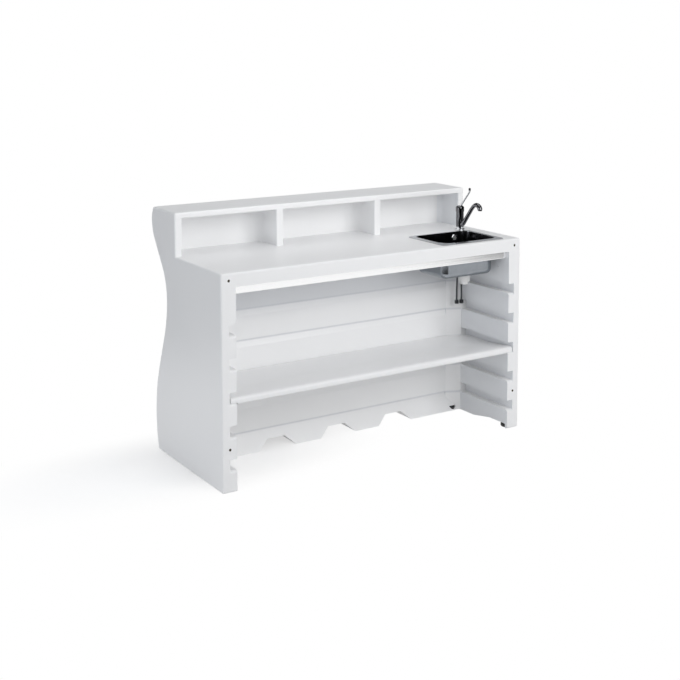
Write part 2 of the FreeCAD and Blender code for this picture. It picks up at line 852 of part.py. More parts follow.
def make_end_wall(side_name):
    side = SIDES[side_name]
    near, far = (INNER, HALF) if side > 0 else (-HALF, -INNER)
    body = section("EndWall" + side_name.title(), near, far, FRONT, BACK, 0, WORK_UNDER)
    mouth = side * (INNER - CLEAR)
    floor = side * (INNER + S.groove_depth)
    low, high = (mouth, floor) if side > 0 else (floor, mouth)
    # Runner grooves, open at the front, one above the other
    sketch, length = sketch_across(body, "GrooveSketch", "y", FRONT - CLEAR, CORNER_FRONT)
    draw_polygon(sketch, rectangle(low, high, S.groove_lowest, S.groove_lowest + S.groove_height))
    groove = checked_cut(body, pocket(body, sketch, length, "Groove"))
    pattern = body.newObject("PartDesign::LinearPattern", "Grooves")
    pattern.Originals = [groove]
    pattern.Direction = (origin_feature(body, "Z_Axis"), [""])
    pattern.Length = (S.groove_pitch * (S.groove_count - 1)).value
    bind(pattern, "Length", S.groove_pitch * (S.groove_count - 1))
    pattern.Occurrences = int(S.groove_count.value)
    bind(pattern, "Occurrences", S.groove_count)
    body.Tip = pattern
    # The lower lip of each groove is rounded over at the front
    levels = [S.groove_lowest.value + i * S.groove_pitch.value
              for i in range(int(S.groove_count.value))]

    def lower_lip(edge):
        centre = edge.CenterOfMass
        return (runs_along(edge, "X") and close(centre.y, FRONT.value)
                and any(close(centre.z, level) for level in levels))

    round_edges(body, S.groove_lip, lower_lip, "Lips")
    # Shallow arch under the inner edge, which also holds the front foot
    arch_top = S.arch_height
    inside, skirt = side * (INNER - CLEAR), side * (HALF - S.arch_skirt)
    low, high = (inside, skirt) if side > 0 else (skirt, inside)
    cut_outline(body, "Arch", "x", low, high,
                [(FRONT + S.arch_start, -CLEAR), (FRONT + S.arch_end, -CLEAR),
                 (FRONT + S.arch_end, 0), (FRONT + S.arch_flat_end, arch_top),
                 (FRONT + S.arch_start, arch_top)])
    x, y = foot_places(side)["front"]
    cut_foot(body, "FrontFoot", x, y)
    cut_bore(body, "InsertBore", "y", FRONT - CLEAR, FRONT + S.insert_depth,
             side * (HALF - S.insert_inset), S.insert_lower, S.insert_diameter)
    if side_name == "right":
        front, top = FRONT + S.slot_front, WORK_UNDER - S.slot_drop
        cut_outline(body, "Slot", "x", INNER - CLEAR, INNER + S.slot_depth,
                    rectangle(front, front + S.slot_length, top, top + S.slot_height))
    return node("end_wall_" + side_name, body)


for side_name in SIDES:
    make_end_wall(side_name)


# ---------------------------------------------------------------- customer panel

def inner_wall_steps():
    """Inner face of the panel from the top down: an overhanging step at each groove level."""
    points = [(INNER_WALL, WORK_UNDER + CLEAR)]
    for i in reversed(range(int(S.groove_count.value))):
        level = S.groove_lowest + S.groove_pitch * i
        points.append((INNER_WALL, level))
        points.append((INNER_WALL + S.step_depth, level))
        if i > 0:
            points.append((INNER_WALL, level - S.step_drop))
    points.append((INNER_WALL - S.inner_kick, 0))
    points.append((INNER_WALL - S.inner_kick, -CLEAR))
    return points


def make_customer_panel():
    far = BACK + CLEAR
    keep = prism("PanelRegion", "x", -INNER, INNER,
                 inner_wall_steps() + [(far, -CLEAR), (far, WORK_UNDER + CLEAR)])
    trimmed = box("PanelHeight", -INNER, INNER, FRONT, BACK + CLEAR, 0, WORK_UNDER)
    wall = common("PanelWall", common("PanelForm", OUTER, keep), trimmed)
    corners = []
    for side_name, side in SIDES.items():
        inside = side * (INNER - S.corner_width)
        wall_back = INNER_WALL + S.step_depth + CLEAR
        points = [(inside, INNER_WALL), (side * INNER, CORNER_FRONT),
                  (side * INNER, wall_back), (inside, wall_back)]
        corners.append(prism("Corner" + side_name.title(), "z", 0, WORK_UNDER, points))
    body = new_body("CustomerPanel", group("PanelWithCorners", [wall] + corners))
    front = INNER_WALL - S.inner_kick - S.corner_rise
    for i, place_x in enumerate((-S.notch_place, as_dim(0), S.notch_place)):
        wide, narrow = S.notch_bottom / 2, S.notch_top / 2
        cut_outline(body, f"Notch{i + 1}", "y", front, INNER_WALL + S.notch_depth,
                    [(place_x - wide, -CLEAR), (place_x + wide, -CLEAR), (place_x + wide, 0),
                     (place_x + narrow, S.notch_height), (place_x - narrow, S.notch_height),
                     (place_x - wide, 0)])
    for side_name, side in SIDES.items():
        x, y = foot_places(side)["rear"]
        cut_foot(body, "RearFoot" + side_name.title(), x, y)
    return node("customer_panel", body)


make_customer_panel()


# ---------------------------------------------------------------- worktop

def bowl_rectangle(gap):
    """Plan of the bowl, grown by a gap."""
    return rectangle(BOWL_LEFT - gap, BOWL_RIGHT + gap, BOWL_FRONT - gap, BOWL_BACK + gap)


def make_worktop():
    body = section("Worktop", -HALF, HALF, FRONT, BACK, WORK_UNDER, S.work_height)
    gap = S.sheet + S.cutout_gap
    low, high = WORK_UNDER - CLEAR, S.work_height + CLEAR
    cut_rounded(body, "SinkCutout", low, high, bowl_rectangle(gap), S.bowl_corner + gap)
    half_notch = S.overflow_body / 2 + S.overflow_notch
    cut_outline(body, "OverflowNotch", "z", low, OVERFLOW_LEVEL + half_notch,
                rectangle(DRAIN_X - half_notch, DRAIN_X + half_notch, BOWL_BACK,
                          BOWL_BACK + S.sheet + S.overflow_body_depth + S.overflow_notch))
    cut_bore(body, "TapHole", "z", low, high, TAP_X, TAP_Y, S.tap_hole)
    for side_name, side in SIDES.items():
        cut_bore(body, "InsertBore" + side_name.title(), "y", FRONT - CLEAR,
                 FRONT + S.insert_depth, side * (HALF - S.insert_inset), S.work_height - S.insert_drop,
                 S.insert_diameter)
    return node("worktop", body)


make_worktop()


# ---------------------------------------------------------------- bar shelf with pigeonholes

def make_hutch():
    body = section("Hutch", -HALF, HALF, HUTCH_FRONT, BACK, S.work_height, S.bar_height)
    half_divider = S.divider / 2
    outer = HALF - S.hutch_cheek
    bays = {
        "Left": (-outer, -S.divider_place - half_divider),
        "Middle": (-S.divider_place + half_divider, S.divider_place - half_divider),
        "Right": (S.divider_place + half_divider, outer),
    }
    rear = BACK - straight_inset(S.work_height) - S.cubby_back_wall
    ceiling = S.bar_height - S.hutch_top
    for name, (x0, x1) in bays.items():
        cut_outline(body, "Cubby" + name, "z", S.work_height - CLEAR, ceiling,
                    rectangle(x0, x1, HUTCH_FRONT - CLEAR, rear))
    round_edges(body, S.cubby_corner,
                lambda edge: runs_along(edge, "Z") and close(edge.CenterOfMass.y, rear.value),
                "CubbyCorners")
    mouth = HUTCH_FRONT.value

    def mouth_edge(edge):
        centre = edge.CenterOfMass
        return (close(centre.y, mouth) and abs(centre.x) < HALF.value - S.edge_round.value
                and S.work_height.value + CLEAR < centre.z < ceiling.value + CLEAR)

    round_edges(body, S.cubby_lip, mouth_edge, "CubbyMouths")
    return node("hutch", body)


make_hutch()


# ---------------------------------------------------------------- shelf and rail

def make_shelf():
    """Moulded shelf with a thick rounded nose; its ends ride in a pair of grooves."""
    underside = SHELF_LEVEL + S.seat_gap
    deck_top = underside + S.shelf_deck
    nose_low = underside - S.shelf_lip_drop
    nose_top = nose_low + S.shelf_nose
    front = FRONT + S.shelf_set_back
    rear = INNER_WALL - S.shelf_rear_gap
    end = INNER + S.groove_depth - S.shelf_end_gap
    slope = FRONT + S.shelf_slope_end
    nose_back = front + S.shelf_nose_depth
    between = INNER - S.shelf_end_gap
    deck = prism("ShelfDeck", "x", -end, end,
                 [(front, underside), (rear, underside), (rear, deck_top), (slope, deck_top),
                  (nose_back, nose_top), (front, nose_top)])
    lip = box("ShelfLip", -between, between, front, nose_back, nose_low, underside + S.shelf_deck)
    # The rear corners run parallel to the bevelled corners of the counter's inside
    run = S.corner_width + S.groove_depth
    rise = run * S.corner_rise / S.corner_width + S.shelf_corner_gap
    whole = group("ShelfWhole", [deck, lip])
    body = new_body("Shelf", whole)
    for side_name, side in SIDES.items():
        x_far, x_near = side * (end + CLEAR), side * (end - run)
        cut_outline(body, "Corner" + side_name.title(), "z", nose_low - CLEAR,
                    nose_top + CLEAR,
                    [(x_near, rear + CLEAR), (x_near, rear), (x_far, rear - rise),
                     (x_far, rear + CLEAR)])
    round_edges(body, S.shelf_corner_round,
                lambda edge: runs_along(edge, "Z") and edge.CenterOfMass.y > slope.value
                and abs(edge.CenterOfMass.x) < end.value + CLEAR, "RearCorners")
    round_edges(body, S.shelf_nose_round,
                lambda edge: runs_along(edge, "X") and close(edge.CenterOfMass.y, front.value)
                and (close(edge.CenterOfMass.z, nose_top.value)
                     or close(edge.CenterOfMass.z, nose_low.value)), "Nose")
    return node("shelf", body)


make_shelf()

RAIL_LOW = WORK_UNDER - S.rail_height
RAIL_FRONT = FRONT + S.rail_set_back


def rail_screw_places():
    count = int(S.rail_screw_count.value)
    pitch = (INNER * 2) / count
    return [-INNER + pitch * i + pitch / 2 for i in range(count)]


def make_rail():
    """Hollow metal section between the end walls, screwed up into the worktop."""
    body = prism("StiffenerRail", "x", -INNER, INNER,
                 rectangle(RAIL_FRONT, RAIL_FRONT + S.rail_depth, RAIL_LOW, WORK_UNDER))
    round_edges(body, S.rail_round,
                lambda edge: runs_along(edge, "X") and close(edge.CenterOfMass.z, RAIL_LOW.value))
    wall = S.rail_wall
    cut_outline(body, "Hollow", "x", -INNER - CLEAR, INNER + CLEAR,
                rectangle(RAIL_FRONT + wall, RAIL_FRONT + S.rail_depth - wall,
                          RAIL_LOW + wall, WORK_UNDER - wall))
    middle = RAIL_FRONT + S.rail_depth / 2
    for i, x in enumerate(rail_screw_places()):
        cut_bore(body, f"ScrewHole{i + 1}", "z", RAIL_LOW - CLEAR, WORK_UNDER + CLEAR,
                 x, middle, S.rail_screw + S.seat_gap)
    return node("stiffener_rail", body)


make_rail()


# ---------------------------------------------------------------- threaded inserts

def make_inserts():
    """Closed-end threaded inserts, flush with the fronts of the end walls."""
    inserts = []
    for side in SIDES.values():
        for level in (S.work_height - S.insert_drop, S.insert_lower):
            x = side * (HALF - S.insert_inset)
            into = Rotation(Vector(1, 0, 0), -90)
            name = f"Insert{len(inserts) + 1}"
            outer = cylinder(name + "Body", S.insert_diameter, S.insert_depth, x, FRONT, level, into)
            bore = cylinder(name + "Bore", S.insert_bore, S.insert_bore_depth, x, FRONT, level, into)
            inserts.append(cut(name, outer, bore))
    return node("threaded_inserts", group("ThreadedInserts", inserts, "Part::Compound"))


make_inserts()


# ---------------------------------------------------------------- levelling feet

def hexagon(name, flats, length, x, y, z, turn=None):
    bar = doc.addObject("Part::Prism", name)
    bar.Polygon = 6
    radius, length = as_dim(flats) / math.sqrt(3), as_dim(length)
    bar.Circumradius = radius.value
    bar.Height = length.value
    bind(bar, "Circumradius", radius)
    bind(bar, "Height", length)
    place(bar, x, y, z, turn)
    return bar


def make_feet():
    """Screw feet: a plastic pad on a threaded stem that turns in a bush."""
    bushes = []
    for side_name, side in SIDES.items():
        for end_name, (x, y) in foot_places(side).items():
            tag = end_name + "_" + side_name
            camel = end_name.title() + side_name.title()
            half, rim = S.foot_diameter / 2, S.foot_rim
            boss, hole = S.foot_boss / 2, S.stem_diameter / 2
            seat = S.foot_height - S.stem_embed
            pad_body = revolve("FootPad" + camel,
                               [(0, 0), (half - rim, 0), (half, rim), (half, S.foot_height - rim),
                                (half - rim, S.foot_height), (boss, S.foot_height),
                                (boss, S.foot_height + S.foot_boss_height),
                                (hole, S.foot_height + S.foot_boss_height), (hole, seat),
                                (0, seat)], x, y, 0)
            node("foot_pad_" + tag, pad_body)
            node("foot_stem_" + tag,
                 cylinder("FootStem" + camel, S.stem_diameter, S.stem_length, x, y, seat))
            bush = revolve("FootBush" + camel,
                           [(hole + S.thread_gap, 0), (S.bush_diameter / 2, 0),
                            (S.bush_diameter / 2, S.bush_length),
                            (hole + S.thread_gap, S.bush_length)],
                           x, y, S.foot_pocket_height)
            bushes.append(bush)
    return node("foot_bushes", group("FootBushes", bushes, "Part::Compound"))


make_feet()


# ---------------------------------------------------------------- rail screws

def make_rail_screws():
    """Screws that hold the rail up against the underside of the worktop."""
    middle = RAIL_FRONT + S.rail_depth / 2
    shank, head, top = S.rail_screw / 2, S.rail_screw_head / 2, S.rail_height - CLEAR
    profile = [(0, -S.rail_screw_head_height), (head, -S.rail_screw_head_height),
               (head, 0), (shank, 0), (shank, top), (0, top)]
    screws = [revolve(f"RailScrew{i + 1}", profile, x, middle, RAIL_LOW)
              for i, x in enumerate(rail_screw_places())]
    return node("rail_screws", group("RailScrews", screws, "Part::Compound"))


make_rail_screws()


# ---------------------------------------------------------------- sink

def sink_rectangle(inset):
    return rectangle(SINK_LEFT + inset, SINK_RIGHT - inset,
                     SINK_FRONT + inset, SINK_BACK - inset)


def at_level(level):
    """Chooses the edges that lie flat at one level."""
    return lambda edge: span(edge, "Z") < 0.01 and close(edge.CenterOfMass.z, level.value)


def bowl_block(name, gap, low, high):
    """A solid of the bowl's shape, grown by a gap, with its floor rounded into the walls."""
    block = new_body(name)
    pad_rounded(block, "Walls", low, high, bowl_rectangle(gap), S.bowl_corner + gap)
    round_edges(block, S.bowl_floor_round + gap, at_level(low), "FloorRound")
    return block


def make_sink():
    """Pressed sheet sink: a flat rim with a deep bowl, one wall thickness all over."""
    rim_low = S.work_height + S.seal
    rim_top = rim_low + S.sink_rim
    rim = new_body("SinkRim")
    pad_rounded(rim, "Rim", rim_low, rim_top, sink_rectangle(0), S.sink_corner)
    outside = bowl_block("SinkOutside", S.sheet, BOWL_UNDER, rim_low)
    hollow = bowl_block("SinkHollow", as_dim(0), BOWL_FLOOR, rim_top + CLEAR)
    pressed = cut("SinkPressed", group("SinkWhole", [rim, outside]), hollow)
    body = new_body("SinkBowl", pressed)
    cut_bore(body, "WasteHole", "z", BOWL_UNDER - CLEAR, BOWL_FLOOR + CLEAR,
             DRAIN_X, WASTE_Y, S.waste_sleeve + S.fit_gap * 2)
    cut_bore(body, "OverflowHole", "y", BOWL_BACK - CLEAR, BOWL_BACK + S.sheet + CLEAR,
             DRAIN_X, OVERFLOW_LEVEL, S.overflow_hole)
    return node("sink_bowl", body)


def make_sink_seal():
    """Bead of sealant between the rim and the worktop, just inside the rim's edge."""
    low, high = S.work_height, S.work_height + S.seal
    outer_inset, inner_inset = S.seal_inset, S.seal_inset + S.seal_width
    body = new_body("SinkSeal")
    pad_rounded(body, "Bead", low, high, sink_rectangle(outer_inset),
                S.sink_corner - outer_inset)
    cut_rounded(body, "Inside", low - CLEAR, high + CLEAR, sink_rectangle(inner_inset),
                S.sink_corner - inner_inset)
    return node("sink_seal", body)


def make_clip(name, x, y, turn):
    """Bent clip between the side of the bowl and the underside of the worktop."""
    half = S.clip_width / 2
    body = prism(name, "y", -half, half,
                 [(0, 0), (0, -S.clip_drop), (S.clip_thickness, -S.clip_drop),
                  (S.clip_thickness, -S.clip_thickness), (S.clip_reach, -S.clip_thickness),
                  (S.clip_reach, 0)])
    place(body, x, y, WORK_UNDER, Rotation(Vector(0, 0, 1), turn))
    doc.recompute()
    return body


def make_clips():
    left, right = BOWL_LEFT - S.sheet, BOWL_RIGHT + S.sheet
    front, back = BOWL_FRONT - S.sheet, BOWL_BACK + S.sheet
    across, middle = (BOWL_LEFT + BOWL_RIGHT) / 2, (BOWL_FRONT + BOWL_BACK) / 2
    places = [
        (right, middle, 0),
        (left, middle, 180),
        (across - S.clip_place, back, 90),
        (across, back, 90),
        (across - S.clip_place, front, -90),
        (across + S.clip_place, front, -90),
    ]
    clips = [make_clip(f"SinkClip{i + 1}", *spot) for i, spot in enumerate(places)]
    return node("sink_clips", group("SinkClips", clips, "Part::Compound"))


make_sink()
make_sink_seal()
make_clips()


# ---------------------------------------------------------------- waste and overflow

WASTE_TOP = BOWL_UNDER - S.waste_gasket
BRANCH_LEVEL = WASTE_TOP - S.waste_branch_drop
WASTE_INSIDE = S.waste_sleeve / 2 + S.fit_gap


def make_waste_flange():
    """Flange in the floor of the bowl with a sleeve through it and a cross in its mouth."""
    bore, sleeve, edge = S.waste_bore / 2, S.waste_sleeve / 2, S.waste_flange / 2
    body = turned_body("WasteFlange",
                       [(bore, -S.waste_sleeve_length), (sleeve, -S.waste_sleeve_length),
                        (sleeve, 0), (edge, 0), (edge, S.waste_flange_edge),
                        (edge - S.plug_rim, S.waste_flange_height),
                        (sleeve, S.waste_flange_height), (bore, S.waste_flange_edge)])
    low = -S.plug_depth * 2 - S.waste_spoke
    sketch, length = sketch_across(body, "SpokeSketch", "z", low, low + S.waste_spoke)
    draw_polygon(sketch, rectangle(-S.waste_spoke / 2, (bore + sleeve) / 2,
                                   -S.waste_spoke / 2, S.waste_spoke / 2))
    spoke = pad(body, sketch, length, "Spoke")
    repeat_round(body, spoke, S.waste_spokes, "Cross")
    place(body, DRAIN_X, WASTE_Y, BOWL_FLOOR)
    return node("waste_flange", body)


def make_waste_plug():
    """Plug that stands in the mouth of the waste and lifts out by its knob."""
    stem, cap = S.waste_bore / 2 - S.fit_gap, S.waste_sleeve / 2
    seat = S.waste_flange_height + S.seat_gap
    knob, top = S.plug_knob / 2, seat + S.plug_cap
    plug = revolve("WastePlug",
                   [(0, -S.plug_depth), (stem, -S.plug_depth), (stem, seat), (cap, seat),
                    (cap, top), (knob, top), (knob, top + S.plug_knob_height),
                    (0, top + S.plug_knob_height)],
                   DRAIN_X, WASTE_Y, BOWL_FLOOR)
    return node("waste_plug", plug)


def make_waste_body():
    """Moulded body that screws onto the flange's sleeve, with a branch for the overflow."""
    inside, cap, outside = WASTE_INSIDE, S.waste_cap / 2, S.waste_body / 2
    tail, tail_bore = S.waste_tail / 2, S.waste_tail_bore / 2
    low = -S.waste_body_height
    turned = revolve("WasteBodyTurned",
                     [(inside, 0), (cap, 0), (cap, -S.waste_cap_height),
                      (outside, -S.waste_cap_height), (outside, low), (tail, low),
                      (tail, low - S.waste_tail_length), (tail_bore, low - S.waste_tail_length),
                      (tail_bore, low + S.waste_floor), (inside, low + S.waste_floor)],
                     DRAIN_X, WASTE_Y, WASTE_TOP)
    wall_middle = (outside + inside) / 2
    branch = cylinder("WasteBranch", S.overflow_socket,
                      outside - wall_middle + S.waste_branch_reach,
                      DRAIN_X, WASTE_Y + wall_middle, BRANCH_LEVEL,
                      Rotation(Vector(1, 0, 0), -90))
    node("waste_body", group("WasteBody", [turned, branch]))
    gasket = revolve("WasteGasket",
                     [(inside, 0), (cap, 0), (cap, S.waste_gasket), (inside, S.waste_gasket)],
                     DRAIN_X, WASTE_Y, WASTE_TOP)
    return node("waste_gasket", gasket)


def make_overflow():
    """Rose inside the bowl, elbow behind it, and the pipe down to the branch of the waste."""
    facing_front = Rotation(Vector(1, 0, 0), 90)
    rose_radius, height = S.overflow_rose / 2, S.overflow_rose_height
    shank = S.overflow_screw / 2
    rose = turned_body("OverflowRose", [(shank + S.fit_gap, 0), (rose_radius, 0),
                                        (rose_radius, height / 2), (rose_radius - height, height),
                                        (shank + S.fit_gap, height)])
    hole = cut_bore(rose, "Hole", "z", -CLEAR, height + CLEAR, S.rose_hole_circle / 2, 0,
                    S.rose_hole)
    repeat_round(rose, hole, S.rose_holes, "Holes")
    place(rose, DRAIN_X, BOWL_BACK, OVERFLOW_LEVEL, facing_front)
    node("overflow_rose", rose)

    head, bite = S.overflow_screw_head / 2, S.sheet + S.overflow_body_depth / 2
    screw = revolve("OverflowScrew",
                    [(0, -bite), (shank, -bite), (shank, height), (head, height),
                     (head, height * 2), (0, height * 2)],
                    DRAIN_X, BOWL_BACK, OVERFLOW_LEVEL, facing_front)
    node("overflow_screw", screw)

    outside = BOWL_BACK + S.sheet
    pipe_y = outside + S.overflow_body_depth / 2
    socket_low = OVERFLOW_LEVEL - S.overflow_body / 2 - S.waste_floor
    elbow_body = cylinder("ElbowBody", S.overflow_body, S.overflow_body_depth, DRAIN_X,
                          outside, OVERFLOW_LEVEL, Rotation(Vector(1, 0, 0), -90))
    socket = cylinder("ElbowSocket", S.overflow_pipe + S.overflow_socket_wall * 2,
                      OVERFLOW_LEVEL - socket_low,
                      DRAIN_X, pipe_y, socket_low)
    screw_hole = cylinder("ElbowScrewHole", S.overflow_screw + S.fit_gap * 2, bite,
                          DRAIN_X, outside - CLEAR, OVERFLOW_LEVEL,
                          Rotation(Vector(1, 0, 0), -90))
    elbow = cut("OverflowElbow", group("ElbowWhole", [elbow_body, socket]), screw_hole)
    node("overflow_elbow", elbow)

    pipe = new_body("OverflowPipe")
    route = new_sketch(pipe, "Route", "YZ_Plane", DRAIN_X)
    branch_end = WASTE_Y + S.waste_body / 2 + S.waste_branch_reach
    bend = S.overflow_bend
    draw_bent_line(route, (pipe_y, socket_low), (pipe_y, BRANCH_LEVEL), (branch_end, BRANCH_LEVEL),
                   bend)
    mouth = new_sketch(pipe, "Section", "XY_Plane", socket_low)
    draw_circle(mouth, DRAIN_X, pipe_y, S.overflow_pipe)
    sweep(pipe, mouth, route)
    return node("overflow_pipe", pipe)


make_waste_flange()
make_waste_plug()
make_waste_body()
make_overflow()


# ---------------------------------------------------------------- mixer tap

def above_seat(height):
    return TAP_SEAT + height


def make_tap_fixed():
    """Base with its neck, the cartridge housing above the swivel, and the cartridge."""
    base, body, neck = S.tap_base / 2, S.tap_body / 2, S.tap_neck / 2
    fixed = turned_body("TapBase",
                        [(0, 0), (base, 0), (base, S.tap_base_height),
                         (body, S.tap_shoulder_height), (body, S.swivel_low),
                         (neck, S.swivel_low), (neck, S.swivel_high), (0, S.swivel_high)])
    cut_bore(fixed, "StudBore", "z", -CLEAR, S.stud_bite + CLEAR, 0, -S.stud_offset,
             S.stud_diameter + S.thread_gap * 2)
    for name, side in SIDES.items():
        cut_bore(fixed, "HoseBore" + name.title(), "z", -CLEAR, S.ferrule_bite + CLEAR,
                 side * S.hose_spread, S.hose_offset, S.ferrule_diameter + S.thread_gap * 2)
    place(fixed, TAP_X, TAP_Y, TAP_SEAT)
    node("tap_base", fixed)

    bore = S.cartridge / 2 + S.thread_gap
    floor = S.swivel_high + S.cartridge_floor
    housing = revolve("TapHousing",
                      [(0, S.swivel_high), (body, S.swivel_high), (body, S.tap_body_top),
                       (bore, S.tap_body_top), (bore, floor), (0, floor)],
                      TAP_X, TAP_Y, TAP_SEAT)
    node("tap_housing", housing)
    node("tap_cartridge",
         cylinder("TapCartridge", S.cartridge, S.tap_body_top - floor - S.tap_cap_gap,
                  TAP_X, TAP_Y, above_seat(floor)))
    hole = S.tap_hole / 2
    node("tap_seal", revolve("TapSeal", [(hole, 0), (base - CLEAR, 0), (base - CLEAR, S.tap_seal),
                                         (hole, S.tap_seal)],
                             TAP_X, TAP_Y, S.work_height))


CAP_LOW = S.tap_body_top + S.tap_cap_gap
CAP_TOP = CAP_LOW + S.tap_cap_height
PIVOT = CAP_TOP - S.lever_pivot_drop


def make_tap_cap():
    """Domed cap that turns for the temperature, with a slot in which the lever tilts."""
    radius = S.tap_cap / 2
    socket = S.cartridge_stem / 2 + S.pin_gap
    socket_top = CAP_LOW + S.stem_rise + S.seat_gap
    cap = turned_body("TapCap", [(0, socket_top), (socket, socket_top), (socket, CAP_LOW),
                                 (radius, CAP_LOW), (radius, CAP_TOP), (0, CAP_TOP)])
    round_edges(cap, S.tap_cap_round,
                lambda edge: close(edge.CenterOfMass.z, CAP_TOP.value) and span(edge, "X") > CLEAR,
                "Dome")
    half = S.lever_slot / 2
    slot_floor = PIVOT - S.lever_slot_floor
    cut_outline(cap, "Slot", "x", -half, half,
                rectangle(-radius - CLEAR, S.lever_slot_floor, slot_floor, CAP_TOP + CLEAR))
    cut_bore(cap, "PinHole", "x", -radius - CLEAR, radius + CLEAR, 0, PIVOT, S.lever_pin)
    place(cap, TAP_X, TAP_Y, TAP_SEAT)
    node("tap_cap", cap)
    pin_length = S.tap_cap - CLEAR * 2
    node("lever_pin",
         cylinder("LeverPin", S.lever_pin, pin_length, TAP_X - pin_length / 2, TAP_Y,
                  above_seat(PIVOT), Rotation(Vector(0, 1, 0), 90)))
    stem_low = S.tap_body_top - S.tap_cap_gap + S.seat_gap
    node("cartridge_stem",
         cylinder("CartridgeStem", S.cartridge_stem, CAP_LOW + S.stem_rise - stem_low,
                  TAP_X, TAP_Y, above_seat(stem_low)))


def make_lever():
    """Bent rod that leans forward from its pivot and ends upright, with a small knob."""
    rod = new_body("LeverRod")
    route = new_sketch(rod, "Route", "YZ_Plane")
    top = S.lever_rise + S.lever_tip
    draw_bent_line(route, (0, 0), (-S.lever_reach, S.lever_rise), (-S.lever_reach, top),
                   S.lever_bend)
    across = new_sketch(rod, "Section", "XZ_Plane")
    lean = math.degrees(math.atan2(S.lever_rise.value, S.lever_reach.value))
    across.AttachmentOffset = Placement(Vector(), Rotation(Vector(1, 0, 0), -lean))
    bind(across, "AttachmentOffset.Rotation.Angle",
         Dim(-lean, f"-1 * atan({S.lever_rise.text} / {S.lever_reach.text})"))
    draw_circle(across, 0, 0, S.lever_diameter)
    sweep(rod, across, route)
    along_x = Rotation(Vector(0, 1, 0), 90)
    width = S.lever_hub_width
    hub = cylinder("LeverHub", S.lever_hub, width, -width / 2, 0, 0, along_x)
    hole = cylinder("LeverHole", S.lever_pin + S.pin_gap * 2, S.tap_cap, -S.tap_cap / 2, 0, 0,
                    along_x)
    lever = cut("TapLever", group("LeverWhole", [rod, hub]), hole)
    place(lever, TAP_X, TAP_Y, above_seat(PIVOT))
    node("tap_lever", lever)
    radius = S.lever_knob / 2
    knob = turned_body("LeverKnob", [(0, 0), (radius, 0), (radius, S.lever_knob_height),
                                     (0, S.lever_knob_height)])
    round_edges(knob, S.lever_knob_round, at_level(S.lever_knob_height), "KnobTop")
    place(knob, TAP_X, TAP_Y - S.lever_reach, above_seat(PIVOT + top))
    node("lever_knob", knob)


def make_spout():
    """Swivelling spout: ring around the neck, tapered arm, turned-down nozzle and aerator."""
    gap = S.swivel_gap
    low, high = above_seat(S.swivel_low + gap), above_seat(S.swivel_high - gap)
    middle = (low + high) / 2
    ring = cylinder("SpoutRing", S.tap_body, high - low, TAP_X, TAP_Y, low)
    lean = math.degrees(math.atan2(S.spout_reach.value, S.spout_rise.value))
    length = math.hypot(S.spout_reach.value, S.spout_rise.value)
    arm = doc.addObject("Part::Cone", "SpoutArm")
    for side, dim in (("Radius1", S.spout_root / 2), ("Radius2", S.spout_tip / 2),
                      ("Height", Dim(length, f"sqrt({S.spout_reach.text} ^ 2 + "
                                             f"{S.spout_rise.text} ^ 2)"))):
        setattr(arm, side, dim.value)
        bind(arm, side, dim)
    place(arm, TAP_X, TAP_Y, middle, Rotation(Vector(1, 0, 0), lean))
    bind(arm, "Placement.Rotation.Angle",
         Dim(lean, f"atan({S.spout_reach.text} / {S.spout_rise.text})"))
    tip_y, tip_z = TAP_Y - S.spout_reach, middle + S.spout_rise
    knuckle = doc.addObject("Part::Sphere", "SpoutKnuckle")
    knuckle.Radius = (S.spout_knuckle / 2).value
    bind(knuckle, "Radius", S.spout_knuckle / 2)
    place(knuckle, TAP_X, tip_y, tip_z)
    nozzle = cylinder("SpoutNozzle", S.spout_knuckle, S.spout_nozzle, TAP_X, tip_y,
                      tip_z - S.spout_nozzle)
    whole = group("SpoutWhole", [ring, arm, knuckle, nozzle])
    neck = cylinder("SpoutNeckRoom", S.tap_neck + gap * 2, S.swivel_high, TAP_X, TAP_Y,
                    above_seat(0))
    housing = cylinder("SpoutHousingRoom", S.tap_body + S.fit_gap * 2, S.tap_body_top,
                       TAP_X, TAP_Y, high)
    aerator_top = tip_z - S.spout_nozzle
    aerator_low = -S.aerator_length
    below = cylinder("SpoutAeratorRoom", S.aerator_diameter + S.fit_gap * 2, S.aerator_length * 2,
                     TAP_X, tip_y, aerator_top - S.aerator_length * 2)
    room = group("SpoutRoom", [neck, housing, below])
    node("tap_spout", cut("TapSpout", whole, room))
    outer, bore = S.aerator_diameter / 2, S.aerator_bore / 2
    screen = aerator_low + S.aerator_recess
    node("aerator", revolve("Aerator",
                            [(0, 0), (outer, 0), (outer, aerator_low), (bore, aerator_low),
                             (bore, screen), (0, screen)],
                            TAP_X, tip_y, aerator_top))


